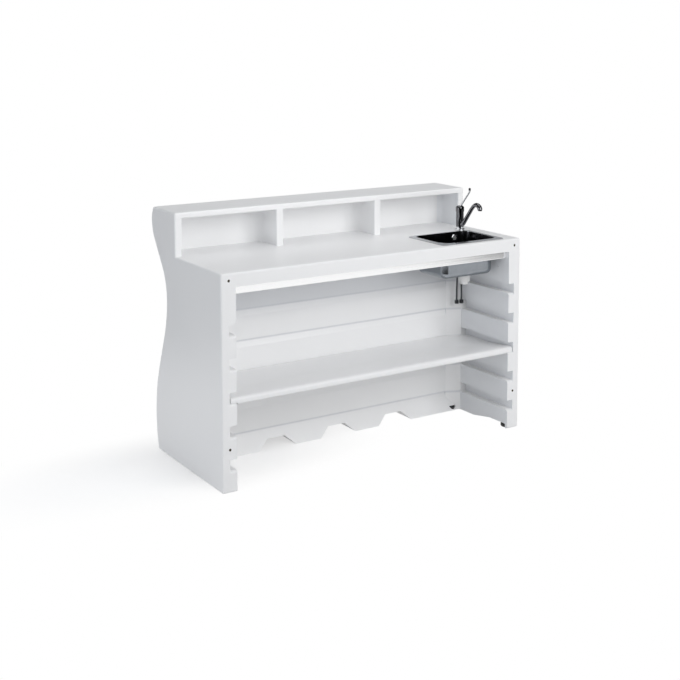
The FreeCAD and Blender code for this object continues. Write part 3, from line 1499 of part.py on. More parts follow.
def make_tap_fixing():
    """Stud, horseshoe washer, horseshoe clamp and nut under the worktop."""
    stud_y = TAP_Y - S.stud_offset
    node("tap_stud", cylinder("TapStud", S.stud_diameter, S.stud_length, TAP_X, stud_y,
                              above_seat(S.stud_bite - S.stud_length)))
    levels = {
        "tap_washer": (WORK_UNDER - S.clamp_washer, WORK_UNDER),
        "tap_clamp": (WORK_UNDER - S.clamp_washer - S.clamp_thickness,
                      WORK_UNDER - S.clamp_washer),
    }
    for name, (low, high) in levels.items():
        body = new_body(name.title().replace("_", ""))
        sketch, length = sketch_across(body, "DiscSketch", "z", low, high)
        draw_circle(sketch, TAP_X, TAP_Y, S.clamp_diameter)
        pad(body, sketch, length)
        half = S.clamp_mouth / 2
        cut_outline(body, "Mouth", "z", low - CLEAR, high + CLEAR,
                    rectangle(TAP_X - half, TAP_X + half,
                              TAP_Y - S.clamp_mouth_start, TAP_Y + S.clamp_diameter))
        cut_bore(body, "StudHole", "z", low - CLEAR, high + CLEAR, TAP_X, stud_y,
                 S.stud_diameter + S.fit_gap * 2)
        node(name, body)
    low = WORK_UNDER - S.clamp_washer - S.clamp_thickness - S.stud_nut_height
    blank = hexagon("StudNutHexagon", S.stud_nut, S.stud_nut_height, TAP_X, stud_y, low)
    hole = cylinder("StudNutHole", S.stud_diameter + S.thread_gap * 2, S.stud_nut_height,
                    TAP_X, stud_y, low)
    node("stud_nut", cut("StudNut", blank, hole))


make_tap_fixed()
make_tap_cap()
make_lever()
make_spout()
make_tap_fixing()


# ---------------------------------------------------------------- supply hoses

# Routes of the two hoses from the centre of the tap hole: (x, y) and drop below the ferrule
HOSE_ROUTES = {
    "cold": [(-6.5, 3.0, 0), (-6.5, 3.0, 62), (-9.6, 6.0, 140), (-10.8, 2.2, 212),
             (-13.5, 2.5, 282), (-13.5, 2.5, 340)],
    "hot": [(6.5, 3.0, 0), (6.5, 3.0, 64), (9.2, 1.2, 148), (15.6, 4.2, 226),
            (14.5, -0.5, 290), (14.5, -0.5, 341)],
}


BEND_SHARE = 0.45  # how much of the shorter run beside a corner its bend may take


def hose_path(points):
    """Straight runs joined by tangent arcs, each as large as its two runs allow."""
    edges, radii = [], []
    here = points[0]
    for before, corner, after in zip(points, points[1:], points[2:]):
        back, ahead = before - corner, after - corner
        setback = BEND_SHARE * min(back.Length, ahead.Length)
        half_turn = (math.pi - back.getAngle(ahead)) / 2
        radius = setback / math.tan(half_turn)
        inward = (back.normalize() + ahead.normalize()).normalize()
        entry, leave = corner + back * setback, corner + ahead * setback
        middle = corner + inward * (radius / math.cos(half_turn) - radius)
        edges.append(Part.LineSegment(here, entry).toShape())
        edges.append(Part.Arc(entry, middle, leave).toShape())
        radii.append(round(radius))
        here = leave
    edges.append(Part.LineSegment(here, points[-1]).toShape())
    return Part.Wire(edges), radii


def make_hose(name, route):
    """A braided hose with its ferrule in the tap and its union nut at the free end."""
    top = above_seat(S.ferrule_bite - S.ferrule_length)
    start_x, start_y = TAP_X + route[0][0], TAP_Y + route[0][1]
    node("hose_ferrule_" + name,
         cylinder("HoseFerrule" + name.title(), S.ferrule_diameter, S.ferrule_length,
                  start_x, start_y, top))
    points = [Vector(TAP_X.value + x, TAP_Y.value + y, top.value - drop)
              for x, y, drop in route]
    path, radii = hose_path(points)
    section_wire = Part.Wire(Part.Circle(points[0], Vector(0, 0, 1),
                                         S.hose_diameter.value / 2).toShape())
    hose = doc.addObject("Part::Feature", "SupplyHose" + name.title())
    hose.Shape = path.makePipeShell([section_wire], True, True)
    expected = math.pi * (S.hose_diameter.value / 2) ** 2 * path.Length
    print(f"hose {name}: length {path.Length:.0f}, radii {radii}, "
          f"volume {hose.Shape.Volume / expected:.4f} of section x length")
    node("supply_hose_" + name, hose)
    x, y, drop = route[-1]
    x, y = TAP_X + x, TAP_Y + y
    low = top - drop - S.hose_nut_height
    nut = hexagon("HoseNutHexagon" + name.title(), S.hose_nut, S.hose_nut_height, x, y, low)
    bore = cylinder("HoseNutBore" + name.title(), S.hose_nut_bore, S.hose_nut_bore_depth,
                    x, y, low)
    node("hose_nut_" + name, cut("HoseNut" + name.title(), nut, bore))


for hose_name, hose_route in HOSE_ROUTES.items():
    make_hose(hose_name, hose_route)


def check_and_export():
    """Stops at any failed feature or bad solid, then writes one STEP file per sub-part."""
    doc.recompute()
    failed = [thing.Name for thing in doc.Objects
              if "Invalid" in thing.State or "Error" in thing.State]
    if failed:
        raise ValueError(f"failed features: {failed}")
    os.makedirs("parts", exist_ok=True)
    for name, thing in nodes.items():
        if thing.Shape.isNull() or not thing.Shape.isValid():
            raise ValueError(f"bad shape: {name}")
    for name, thing in nodes.items():
        thing.Shape.exportStep(f"parts/{name}.step")
        print(f"{name}: {len(thing.Shape.Solids)} solids, {thing.Shape.Volume / 1000:.1f} cm3")


check_and_export()
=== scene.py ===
import json
import math
from typing import NamedTuple

import bmesh
import bpy
from mathutils import Euler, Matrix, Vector


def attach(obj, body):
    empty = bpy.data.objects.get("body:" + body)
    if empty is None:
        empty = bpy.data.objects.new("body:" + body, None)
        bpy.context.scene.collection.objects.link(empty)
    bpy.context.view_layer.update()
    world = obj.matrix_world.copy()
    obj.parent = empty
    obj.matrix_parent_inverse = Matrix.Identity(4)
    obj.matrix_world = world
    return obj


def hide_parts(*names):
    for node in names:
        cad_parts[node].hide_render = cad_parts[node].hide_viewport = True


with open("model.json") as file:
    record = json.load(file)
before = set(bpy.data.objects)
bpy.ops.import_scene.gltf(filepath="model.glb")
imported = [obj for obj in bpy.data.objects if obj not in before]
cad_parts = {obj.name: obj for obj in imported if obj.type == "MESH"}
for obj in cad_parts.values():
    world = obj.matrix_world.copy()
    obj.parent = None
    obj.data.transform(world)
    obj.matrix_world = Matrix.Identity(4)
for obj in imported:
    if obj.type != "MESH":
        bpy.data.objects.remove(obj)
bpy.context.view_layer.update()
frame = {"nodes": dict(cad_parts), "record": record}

# Bar counter seen from the service side. Everything is in metres, in the frame's own axes:
# X along the counter, +Y to the customer, Z up from the floor.

NODES = frame["nodes"]
EVEN = (1.0, 1.0, 1.0)
WELD = 1e-6


# ---------------------------------------------------------------- camera

CAMERA_PLACE = Vector((-2.9457, -4.6148, 1.9076))
CAMERA_TILT = math.radians(84.42)
CAMERA_TURN = math.radians(-32.486)
CAMERA_LENS = 62.8
CAMERA_SENSOR = 36.0
CAMERA_SHIFT = (0.001, -0.282)
CAMERA_CLIP = (0.05, 200.0)


def make_camera():
    lens = bpy.data.cameras.new("Camera")
    lens.lens = CAMERA_LENS
    lens.sensor_width = CAMERA_SENSOR
    lens.shift_x, lens.shift_y = CAMERA_SHIFT
    lens.clip_start, lens.clip_end = CAMERA_CLIP
    camera = bpy.data.objects.new("Camera", lens)
    camera.location = CAMERA_PLACE
    camera.rotation_euler = Euler((CAMERA_TILT, 0.0, CAMERA_TURN))
    bpy.context.scene.collection.objects.link(camera)
    bpy.context.scene.camera = camera


make_camera()


# ---------------------------------------------------------------- shader maths

class Field:
    """A value that varies over a surface; arithmetic on it adds the nodes."""

    def __init__(self, graph, socket):
        self.graph = graph
        self.socket = socket

    def maths(self, operation, left, right=None):
        inputs = {0: left} if right is None else {0: left, 1: right}
        return self.graph.node("ShaderNodeMath", {"operation": operation}, inputs)

    def __add__(self, other):
        return self.maths("ADD", self, other)

    def __sub__(self, other):
        return self.maths("SUBTRACT", self, other)

    def __mul__(self, other):
        return self.maths("MULTIPLY", self, other)

    def __rsub__(self, other):
        return self.maths("SUBTRACT", other, self)

    __radd__ = __add__
    __rmul__ = __mul__

    def sine(self):
        return self.maths("SINE", self)

    def above(self, other):
        return self.maths("GREATER_THAN", self, other)

    def highest(self, other):
        return self.maths("MAXIMUM", self, other)

    def swing(self, other):
        return self.maths("PINGPONG", self, other)


class Graph:
    """A node tree being built."""

    def __init__(self, tree):
        self.tree = tree

    def node(self, kind, settings=None, inputs=None, output=0):
        made = self.tree.nodes.new(kind)
        for key, value in (settings or {}).items():
            setattr(made, key, value)
        for key, value in (inputs or {}).items():
            self.feed(made.inputs[key], value)
        return Field(self, made.outputs[output])

    def feed(self, socket, value):
        """Link a field to the socket, or set it to a constant."""
        if isinstance(value, Field):
            self.tree.links.new(value.socket, socket)
        else:
            socket.default_value = value

    def part(self, vector, name):
        """The X, Y or Z of a vector."""
        return self.node("ShaderNodeSeparateXYZ", {}, {0: vector}, name)

    def tint(self, factor, dark, light):
        ends = {key: end if isinstance(end, Field) else (*end, 1.0)
                for key, end in (("A", dark), ("B", light))}
        return self.node("ShaderNodeMix", {"data_type": "RGBA"}, {"Factor": factor, **ends},
                         "Result")

    def ramp(self, value, start, end, low=0.0, high=1.0, shape="SMOOTHSTEP"):
        """Goes from low to high while the value goes from start to end."""
        return self.node("ShaderNodeMapRange", {"interpolation_type": shape},
                         {"Value": value, "From Min": start, "From Max": end,
                          "To Min": low, "To Max": high})

    def share(self, value, low, high):
        """Goes evenly from low to high while the value goes from 0 to 1."""
        return self.ramp(value, 0.0, 1.0, low, high, "LINEAR")


class Finish(Graph):
    """A material being built round one Principled shader."""

    def __init__(self, name, **constants):
        self.material = bpy.data.materials.new(name)
        self.material.use_nodes = True
        super().__init__(self.material.node_tree)
        self.shader = self.tree.nodes["Principled BSDF"]
        for socket, value in constants.items():
            self.shader.inputs[socket.replace("_", " ")].default_value = value

    def place(self, stretch=EVEN):
        here = self.node("ShaderNodeTexCoord", output="Object")
        return self.node("ShaderNodeMapping", {}, {"Vector": here, "Scale": stretch})

    def axis(self, name):
        """The X, Y or Z of the point, in metres."""
        return self.part(self.place(), name)

    def outward(self):
        """The way the face looks."""
        return self.node("ShaderNodeTexCoord", output="Normal")

    def noise(self, scale, detail, stretch=EVEN):
        return self.node("ShaderNodeTexNoise", {},
                         {"Vector": self.place(stretch), "Scale": scale, "Detail": detail}, "Fac")

    def dress(self, colour, roughness, relief, strength, distance):
        """Feeds the sockets that vary on every finish, and gives the material."""
        normal = self.node("ShaderNodeBump", {},
                           {"Height": relief, "Strength": strength, "Distance": distance},
                           "Normal")
        self.feed(self.shader.inputs["Base Color"], colour)
        self.feed(self.shader.inputs["Roughness"], roughness)
        self.feed(self.shader.inputs["Normal"], normal)
        return self.material


# ---------------------------------------------------------------- moulded white

PLASTIC_IOR = 1.5
WHITE_DARK = (0.928, 0.930, 0.936)
WHITE_LIGHT = (0.954, 0.956, 0.960)
CLOUD_SCALE = 5.5
PEEL_SCALE = 420.0
SWELL_SCALE = 14.0
WHITE_ROUGH = 0.27
CLOUD_ROUGH = 0.08
PEEL_ROUGH = 0.05
PEEL_RELIEF = 0.25
# A face looks towards the service side, or to the left, when its normal is past this
FACING = -0.5
# Painted shade: the front faces, which look towards the service side at the front, are greyer than
# the rest
FRONT_FACE = -0.335
FRONT_SHADE_TONE = (0.870, 0.873, 0.880)
# Painted shade: the right end wall's inner face is tinted bluish grey
INNER_RIGHT = 0.5
INNER_SHADE_TONE = (0.80, 0.835, 0.885)
INNER_SHADE_SHARE = 0.45
# Painted shade: a dark line under each step of the inner wall
INNER_BACK = 0.075
STEP_FIRST = 0.0929
STEP_PITCH = 0.1429
CREASE_WIDTH = 0.009
CREASE_SHADE_DEPTH = 0.55
PAINTED_SHADE_TONE = (0.60, 0.62, 0.66)
# Painted shade below the worktop: the inner wall is darkened, softly up to the last step and
# plainly above it
SHADE_LOW = 0.585
SHADE_FROM = 0.6645
SHADE_SOFT = 0.22
SHADE_STEP = 0.34


def moulded_white(name="moulded_white", shaded_steps=False):
    """Rotationally moulded polyethylene: satin, with a fine orange peel and slow clouds. Painted
    shade greys the front faces and tints the right end's inner face bluish; on the panel with
    steps it also darkens a line under each step and the wall below the worktop.
    """
    f = Finish(name, IOR=PLASTIC_IOR)
    clouds = f.noise(CLOUD_SCALE, 3.0)
    peel = f.noise(PEEL_SCALE, 3.0)
    swell = f.noise(SWELL_SCALE, 1.0)
    white = f.tint(clouds, WHITE_DARK, WHITE_LIGHT)
    # Painted shade on the front faces
    forward = 1.0 - f.part(f.outward(), "Y").above(FACING)
    front = forward * (1.0 - f.axis("Y").above(FRONT_FACE))
    white = f.tint(front, white, FRONT_SHADE_TONE)
    # Painted shade: bluish tint on the faces that look left at the right end
    leftward = 1.0 - f.part(f.outward(), "X").above(FACING)
    inner = leftward * f.axis("X").above(INNER_RIGHT)
    white = f.tint(inner * INNER_SHADE_SHARE, white, INNER_SHADE_TONE)
    if shaded_steps:
        # Painted shade on the inner wall: a dark line under each step, and darkening below the
        # worktop
        inside = 1.0 - f.axis("Y").above(INNER_BACK)
        height = f.axis("Z")
        crease_shade = f.ramp((height - STEP_FIRST).swing(STEP_PITCH / 2), CREASE_WIDTH, 0.0,
                        high=CREASE_SHADE_DEPTH)
        white = f.tint(crease_shade * inside, white, PAINTED_SHADE_TONE)
        shade = f.ramp(height, SHADE_LOW, SHADE_FROM, high=SHADE_SOFT)
        shade = shade + height.above(SHADE_FROM) * SHADE_STEP
        white = f.tint(shade * inside, white, PAINTED_SHADE_TONE)
    roughness = clouds * CLOUD_ROUGH + peel * PEEL_ROUGH + WHITE_ROUGH
    return f.dress(white, roughness, peel * PEEL_RELIEF + swell, strength=0.30, distance=0.0006)


# ---------------------------------------------------------------- sink and tap metal

# The heart of the bowl, above the rim: inner faces look towards it
BOWL_HEART = (0.55, -0.16, 1.10)
GRAIN_SCALE = 900.0
GRAIN_STRETCH = (0.02, 1.0, 1.0)
MARKS_SCALE = 26.0
# Painted shade and reflection: below the rim the bowl's outside is darkened with painted shade,
# and its inside is near black with painted dark reflection
RIM_TONE_FROM = 0.9285
RIM_TONES = ((0.44, 0.45, 0.47), (0.54, 0.55, 0.57))
BOWL_OUTER_SHADE_TONES = ((0.25, 0.27, 0.295), (0.33, 0.35, 0.375))
BOWL_INNER_REFLECTION_TONES = ((0.07, 0.07, 0.078), (0.11, 0.11, 0.12))


def sink_steel():
    """Stainless sheet: fine lines and faint water marks; the rim keeps the steel's tone, and the
    drawn bowl is darker with painted shade outside and painted dark reflection inside.
    """
    f = Finish("sink_steel", Metallic=1.0)
    grain = f.noise(GRAIN_SCALE, 2.0, GRAIN_STRETCH)
    marks = f.noise(MARKS_SCALE, 4.0)
    # Painted dark reflection on the inner faces, those that look towards the bowl's heart
    inward = f.node("ShaderNodeVectorMath", {"operation": "SUBTRACT"},
                    {0: BOWL_HEART, 1: f.place()})
    dark_reflection_mask = f.node("ShaderNodeVectorMath", {"operation": "DOT_PRODUCT"},
                    {0: f.outward(), 1: inward}, "Value").above(0.0)
    bowl = f.tint(dark_reflection_mask, f.tint(marks, *BOWL_OUTER_SHADE_TONES), f.tint(marks, *BOWL_INNER_REFLECTION_TONES))
    rim = f.tint(marks, *RIM_TONES)
    steel = f.tint(f.axis("Z").above(RIM_TONE_FROM), bowl, rim)
    roughness = grain * 0.08 + marks * 0.10 + 0.10
    return f.dress(steel, roughness, grain, strength=0.10, distance=0.0002)


HAZE_SCALE = 34.0
CHROME_BRIGHT_TONES = ((0.74, 0.75, 0.77), (0.82, 0.83, 0.85))
# Darker tones for the painted dark reflection
CHROME_DARK_REFLECTION_TONES = ((0.17, 0.17, 0.18), (0.22, 0.22, 0.23))
# Painted dark reflection: its levels on the tap's body, and its place on the spout's far part
TAP_DARK_LOW = 0.9460
TAP_DARK_HIGH = 1.0520
SPOUT_DARK_FROM = -0.0950


def chrome():
    """Polished chrome, bright on the base and the lever, with painted dark reflection on the tap's
    body and spout.
    """
    f = Finish("chrome", Metallic=1.0)
    haze = f.noise(HAZE_SCALE, 3.0)
    height = f.axis("Z")
    # Painted dark reflection on the tap's body and the spout's far part
    body = height.above(TAP_DARK_LOW) * (1.0 - height.above(TAP_DARK_HIGH))
    arm = 1.0 - f.axis("Y").above(SPOUT_DARK_FROM)
    metal = f.tint(body.highest(arm), f.tint(haze, *CHROME_BRIGHT_TONES),
                   f.tint(haze, *CHROME_DARK_REFLECTION_TONES))
    return f.dress(metal, haze * 0.05 + 0.03, haze, strength=0.04, distance=0.0003)


BRAID_AROUND = 8.0
BRAID_ALONG = 34.0
BRAID_TONES = ((0.010, 0.010, 0.012), (0.115, 0.118, 0.128))


def hose_braid():
    """Dark braided jacket: two sets of strands wound against each other along the hose."""
    f = Finish("hose_braid", Metallic=0.35)
    unrolled = f.node("ShaderNodeUVMap")
    around = f.part(unrolled, "X") * BRAID_AROUND
    length = f.part(unrolled, "Y") * BRAID_ALONG
    right = ((around + length) * math.tau).sine()
    left = ((around - length) * math.tau).sine()
    strands = right.highest(left) * 0.5 + 0.5
    return f.dress(f.tint(strands, *BRAID_TONES), 0.62 - strands * 0.24, strands,
                   strength=0.7, distance=0.0006)


# ---------------------------------------------------------------- mottled finishes

class Mottle(NamedTuple):
    """A finish whose tone, roughness and relief follow one noise."""
    dark: tuple
    light: tuple
    scale: float
    detail: float
    roughness: float
    roughness_span: float
    strength: float
    distance: float = 0.0002
    stretch: tuple = EVEN
    constants: tuple = (("Metallic", 1.0),)


def black(roughness, scale):
    """Black plastic or rubber with a fine moulded grain."""
    return Mottle((0.012, 0.012, 0.013), (0.034, 0.034, 0.036), scale, 4.0, roughness, 0.18,
                  0.25, distance=0.0004, constants=(("IOR", PLASTIC_IOR),))


def pale(dark, light, roughness):
    """Plastic or sealant in one tone, with a soft mottle."""
    return Mottle(dark, light, 130.0, 4.0, roughness, 0.12, 0.2, distance=0.0003,
                  constants=(("IOR", 1.49),))


# Dark and light tone, the noise's scale and detail, roughness and its span, bump strength
MOTTLES = {
    "rail_metal": Mottle((0.965, 0.965, 0.970), (0.990, 0.990, 0.992), 60.0, 2.0, 0.06, 0.04,
                         0.15, distance=0.0004, stretch=(0.03, 1.0, 1.0),
                         constants=(("Metallic", 0.78),)),
    "drain_steel": Mottle((0.70, 0.71, 0.73), (0.80, 0.81, 0.83), 90.0, 3.0, 0.12, 0.10, 0.1),
    "zinc_steel": Mottle((0.48, 0.49, 0.51), (0.62, 0.63, 0.66), 220.0, 4.0, 0.26, 0.22, 0.2),
    "insert_metal": Mottle((0.10, 0.09, 0.07), (0.26, 0.23, 0.17), 700.0, 2.0, 0.35, 0.20, 0.2,
                           stretch=(1.0, 0.1, 1.0)),
    "nut_dark": Mottle((0.045, 0.045, 0.050), (0.13, 0.13, 0.14), 300.0, 3.0, 0.30, 0.20, 0.2),
    "foot_black": black(0.42, 500.0),
    "black_rubber": black(0.62, 700.0),
    "knob_black": black(0.18, 300.0),
    "cartridge_plastic": pale((0.70, 0.70, 0.68), (0.80, 0.80, 0.78), 0.40),
    "sealant": pale((0.16, 0.16, 0.17), (0.24, 0.24, 0.25), 0.30),
    "waste_white": pale((0.80, 0.80, 0.79), (0.88, 0.88, 0.87), 0.36),
}


def mottled(name, look):
    f = Finish(name, **dict(look.constants))
    mottle = f.noise(look.scale, look.detail, look.stretch)
    return f.dress(f.tint(mottle, look.dark, look.light),
                   mottle * look.roughness_span + look.roughness, mottle, look.strength,
                   look.distance)


FINISHES = {
    "moulded_white": moulded_white(),
    # The customer panel's white, with painted shade on its inner wall's steps
    "moulded_steps_shaded": moulded_white("moulded_steps_shaded", shaded_steps=True),
    "sink_steel": sink_steel(),
    "chrome": chrome(),
    "hose_braid": hose_braid(),
    **{name: mottled(name, look) for name, look in MOTTLES.items()},
}
# Nodes whose finish isn't the one that their slot is named after
NODE_FINISHES = {"customer_panel": "moulded_steps_shaded", "overflow_rose": "drain_steel",
                 "waste_flange": "drain_steel"}


def dress_nodes():
    """Every CAD node takes the finish of its material slot."""
    for part in frame["record"]["subparts"]:
        mesh = NODES[part["node"]].data
        mesh.materials.clear()
        mesh.materials.append(FINISHES[NODE_FINISHES.get(part["node"], part["material_slot"])])


dress_nodes()


# ---------------------------------------------------------------- making pieces

# An edge turns sharp at this angle, in radians
SHARP_EDGE = 0.6
SHARP_PRESSING = 0.5
CIRCLE_WAY = Vector((0.0, 0.0, -1.0))


def link(name, data):
    piece = bpy.data.objects.new(name, data)
    bpy.context.scene.collection.objects.link(piece)
    return piece


def bake(bm, name):
    mesh = bpy.data.meshes.new(name)
    bm.to_mesh(mesh)
    bm.free()
    return mesh


def stand_in(name, mesh, finish, node, body):
    """A piece that takes a CAD node's place on its body."""
    mesh.materials.append(FINISHES[finish])
    piece = link(name, mesh)
    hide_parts(node)
    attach(piece, body)
    return piece


def finish_piece(bm, name, finish, node, body, sharp=SHARP_EDGE):
    """Merge, turn the normals out, smooth the soft edges and put the piece in its node's place."""
    bmesh.ops.remove_doubles(bm, verts=bm.verts, dist=WELD)
    bmesh.ops.recalc_face_normals(bm, faces=bm.faces)
    for face in bm.faces:
        face.smooth = True
    for edge in bm.edges:
        edge.smooth = len(edge.link_faces) == 2 and edge.calc_face_angle(0.0) < sharp
    return stand_in(name, bake(bm, name), finish, node, body)


def sweep(bm, points, radii, sides):
    """A closed tube of rings set square to the line; gives the rings and the length at each."""
    ring = bmesh.ops.create_circle(bm, segments=sides, radius=1.0)["verts"]
    bmesh.ops.translate(bm, verts=ring, vec=points[0])
    rings, travelled = [ring], [0.0]
    for before, here in zip(points, points[1:]):
        edges = list(dict.fromkeys(e for v in rings[-1] for e in v.link_edges
                                   if e.verts[0] in rings[-1] and e.verts[1] in rings[-1]))
        made = bmesh.ops.extrude_edge_only(bm, edges=edges)["geom"]
        ring = [g for g in made if isinstance(g, bmesh.types.BMVert)]
        bmesh.ops.translate(bm, verts=ring, vec=here - before)
        rings.append(ring)
        travelled.append(travelled[-1] + (here - before).length)
    for index, (ring, radius) in enumerate(zip(rings, radii)):
        step = points[min(index + 1, len(points) - 1)] - points[max(index - 1, 0)]
        turn = CIRCLE_WAY.rotation_difference(step.normalized()).to_matrix()
        for vert in ring:
            vert.co = points[index] + turn @ ((vert.co - points[index]) * radius)
    for ring in (rings[0], rings[-1]):
        bmesh.ops.contextual_create(bm, geom=ring)
    return rings, travelled


# ---------------------------------------------------------------- supply hoses

HOSE_DIAMETER = 0.009
HOSE_SIDES = 20
HOSE_STEPS = 24
HOSE_ORDER = 3
HOSE_ROUTES = {
    "cold": [(0.6920, -0.0055, 0.914), (0.6920, -0.0055, 0.852), (0.6889, -0.0025, 0.774),
             (0.6877, -0.0063, 0.702), (0.6850, -0.0060, 0.632), (0.6850, -0.0060, 0.574)],
    "hot": [(0.7050, -0.0055, 0.914), (0.7050, -0.0055, 0.850), (0.7077, -0.0073, 0.766),
            (0.7141, -0.0043, 0.688), (0.7130, -0.0090, 0.624), (0.7130, -0.0090, 0.573)],
}
HOSE_LENGTHS = {"cold": 0.340, "hot": 0.341}


def hose_line(name, route):
    """The points of one smooth line that has the route as its control points."""
    curve = bpy.data.curves.new(name + "_line", "CURVE")
    curve.dimensions = "3D"
    curve.resolution_u = HOSE_STEPS
    spline = curve.splines.new("NURBS")
    spline.points.add(len(route) - 1)
    for point, place in zip(spline.points, route):
        point.co = (*place, 1.0)
    spline.order_u = HOSE_ORDER
    spline.use_endpoint_u = True
    guide = link(name + "_line", curve)
    bpy.context.view_layer.update()
    line = bpy.data.meshes.new_from_object(guide)
    points = [v.co.copy() for v in line.vertices]
    bpy.data.objects.remove(guide)
    bpy.data.meshes.remove(line)
    return points


def unroll_hose(bm, points, rings, travelled, length):
    """U goes once round the hose and V once along it, whole across the seam."""
    uv = bm.loops.layers.uv.active
    level = {v: i for i, ring in enumerate(rings) for v in ring}
    for face in bm.faces:
        face.smooth = len(face.verts) == 4
        angles = {}
        for loop in face.loops:
            out = loop.vert.co - points[level[loop.vert]]
            angles[loop] = math.atan2(out.y, out.x) / math.tau % 1.0
        wraps = max(angles.values()) - min(angles.values()) > 0.5
        for loop, angle in angles.items():
            loop[uv].uv = (angle + (1.0 if wraps and angle < 0.5 else 0.0),
                           travelled[level[loop.vert]] / length)


def make_hose(name, route):
    node = "supply_hose_" + name
    points = hose_line(node, route)
    bm = bmesh.new()
    bm.loops.layers.uv.new("UVMap")
    rings, travelled = sweep(bm, points, [HOSE_DIAMETER / 2] * len(points), HOSE_SIDES)
    unroll_hose(bm, points, rings, travelled, HOSE_LENGTHS[name])
    bmesh.ops.recalc_face_normals(bm, faces=bm.faces)
    hose = stand_in("braided_hose_" + name, bake(bm, node), "hose_braid", node, "counter")


for hose_name, hose_route in HOSE_ROUTES.items():
    make_hose(hose_name, hose_route)


# ---------------------------------------------------------------- tap spout

TAP_PLACE = Vector((0.6985, -0.0085, 0.0))
RING_OUTER = 0.0190
RING_INNER = 0.01565
RING_LOW = 0.9461
RING_HIGH = 0.9719
RING_SIDES = 64
# Reach in front of the tap's axis, height and radius along the spout's middle line
SPOUT_LINE = [(0.0180, 0.9590, 0.0112), (0.0210, 0.9598, 0.0112), (0.0260, 0.9625, 0.0110),
              (0.0330, 0.9700, 0.0107), (0.0520, 0.9935, 0.0102), (0.0730, 1.0200, 0.0098),
              (0.0930, 1.0450, 0.0095), (0.1060, 1.0585, 0.0096), (0.1180, 1.0660, 0.0101),
              (0.1300, 1.0690, 0.0108), (0.1410, 1.0670, 0.0115), (0.1500, 1.0610, 0.0120),
              (0.1550, 1.0540, 0.0121), (0.1560, 1.0480, 0.0118)]
AERATOR_LINE = [(0.1560, 1.0500, 0.0100), (0.1560, 1.0430, 0.0100)]
SPOUT_SIDES = 40


def follow(bm, line):
    points = [TAP_PLACE + Vector((0.0, -reach, height)) for reach, height, _ in line]
    sweep(bm, points, [radius for _, _, radius in line], SPOUT_SIDES)


def make_spout():
    """Swivel ring with a steep arm that bends over into the nozzle."""
    bm = bmesh.new()
    profile = [(RING_INNER, RING_LOW), (RING_OUTER, RING_LOW), (RING_OUTER, RING_HIGH),
               (RING_INNER, RING_HIGH)]
    verts = [bm.verts.new(TAP_PLACE + Vector((radius, 0.0, height)))
             for radius, height in profile]
    edges = [bm.edges.new(pair) for pair in zip(verts, verts[1:] + verts[:1])]
    bmesh.ops.spin(bm, geom=verts + edges, cent=TAP_PLACE, axis=(0, 0, 1), angle=math.tau,
                   steps=RING_SIDES)
    follow(bm, SPOUT_LINE)
    finish_piece(bm, "swan_spout", "chrome", "tap_spout", "spout_body")


def make_aerator():
    bm = bmesh.new()
    follow(bm, AERATOR_LINE)
    finish_piece(bm, "spout_aerator", "chrome", "aerator", "spout_body")


make_spout()
make_aerator()


# ---------------------------------------------------------------- sink mouth

WORKTOP_UNDER = 0.868
RIM_LEVEL = 0.9305
BOWL_SPREAD_FROM = 0.869
CUT_OUT_SPREAD_FROM = 0.920
CORNER_ZONE = 0.040
# Side of the bowl, level where its corner starts, and how far the mouth spreads there
MOUTH_SPREAD = (("x", 0.440, -1.0, 0.017), ("x", 0.660, 1.0, 0.008), ("y", -0.232, -1.0, 0.022))
MOUTH_BOX = ((0.394, -0.278), (0.706, -0.040))


def spread_mouth(bm, level_from):
    """Lean the upper walls outwards, so that the mouth reaches nearly to the rim's edge."""
    (low_x, low_y), (high_x, high_y) = MOUTH_BOX
    for vert in bm.verts:
        inside = low_x < vert.co.x < high_x and low_y < vert.co.y < high_y
        if not inside or vert.co.z < level_from:
            continue
        share = min(1.0, (vert.co.z - WORKTOP_UNDER) / (RIM_LEVEL - WORKTOP_UNDER))
        for axis, start, way, spread in MOUTH_SPREAD:
            past = (getattr(vert.co, axis) - start) * way / CORNER_ZONE
            if past > 0.0:
                setattr(vert.co, axis, getattr(vert.co, axis) + way * spread * past * share)


def from_node(node):
    bm = bmesh.new()
    bm.from_mesh(NODES[node].data)
    bmesh.ops.remove_doubles(bm, verts=bm.verts, dist=WELD)
    return bm


def make_sink():
    bm = from_node("sink_bowl")
    bmesh.ops.bisect_plane(bm, geom=bm.verts[:] + bm.edges[:] + bm.faces[:],
                           plane_co=(0.0, 0.0, WORKTOP_UNDER), plane_no=(0, 0, 1))
    spread_mouth(bm, BOWL_SPREAD_FROM)
    finish_piece(bm, "pressed_sink", "sink_steel", "sink_bowl", "counter", SHARP_PRESSING)


def make_top():
    """The worktop, with its cut-out's upper edge led out along with the bowl's mouth."""
    bm = from_node("worktop")
    spread_mouth(bm, CUT_OUT_SPREAD_FROM)
    finish_piece(bm, "moulded_top", "moulded_white", "worktop", "counter", SHARP_PRESSING)


make_sink()
make_top()


# ---------------------------------------------------------------- floor

FLOOR_REACH = 40.0
SPECKLE_SCALE = 3.0
FLOOR_DARK = (0.69, 0.69, 0.69)
FLOOR_LIGHT = (0.71, 0.71, 0.71)
FLOOR_GLOW = 0.41
# The shadow's oval: how the floor is stretched and centred, and where it turns plain white
FLOOR_STRETCH = (0.4, 1.0, 1.0)
FLOOR_CENTRE = (0.34, -0.08, 0.0)
WHITE_FROM = 0.12
WHITE_WITHIN = 0.48
# Polished metal sees the pale floor fade to a dark room, sooner on the left
GLOSS_FROM = 4.75
GLOSS_TO = 5.25
GLOSS_FAR = 0.20
DARK_RIGHT = 0.60
DARK_LEFT = 0.10
DARK_FROM = 1.9
DARK_TO = 2.6


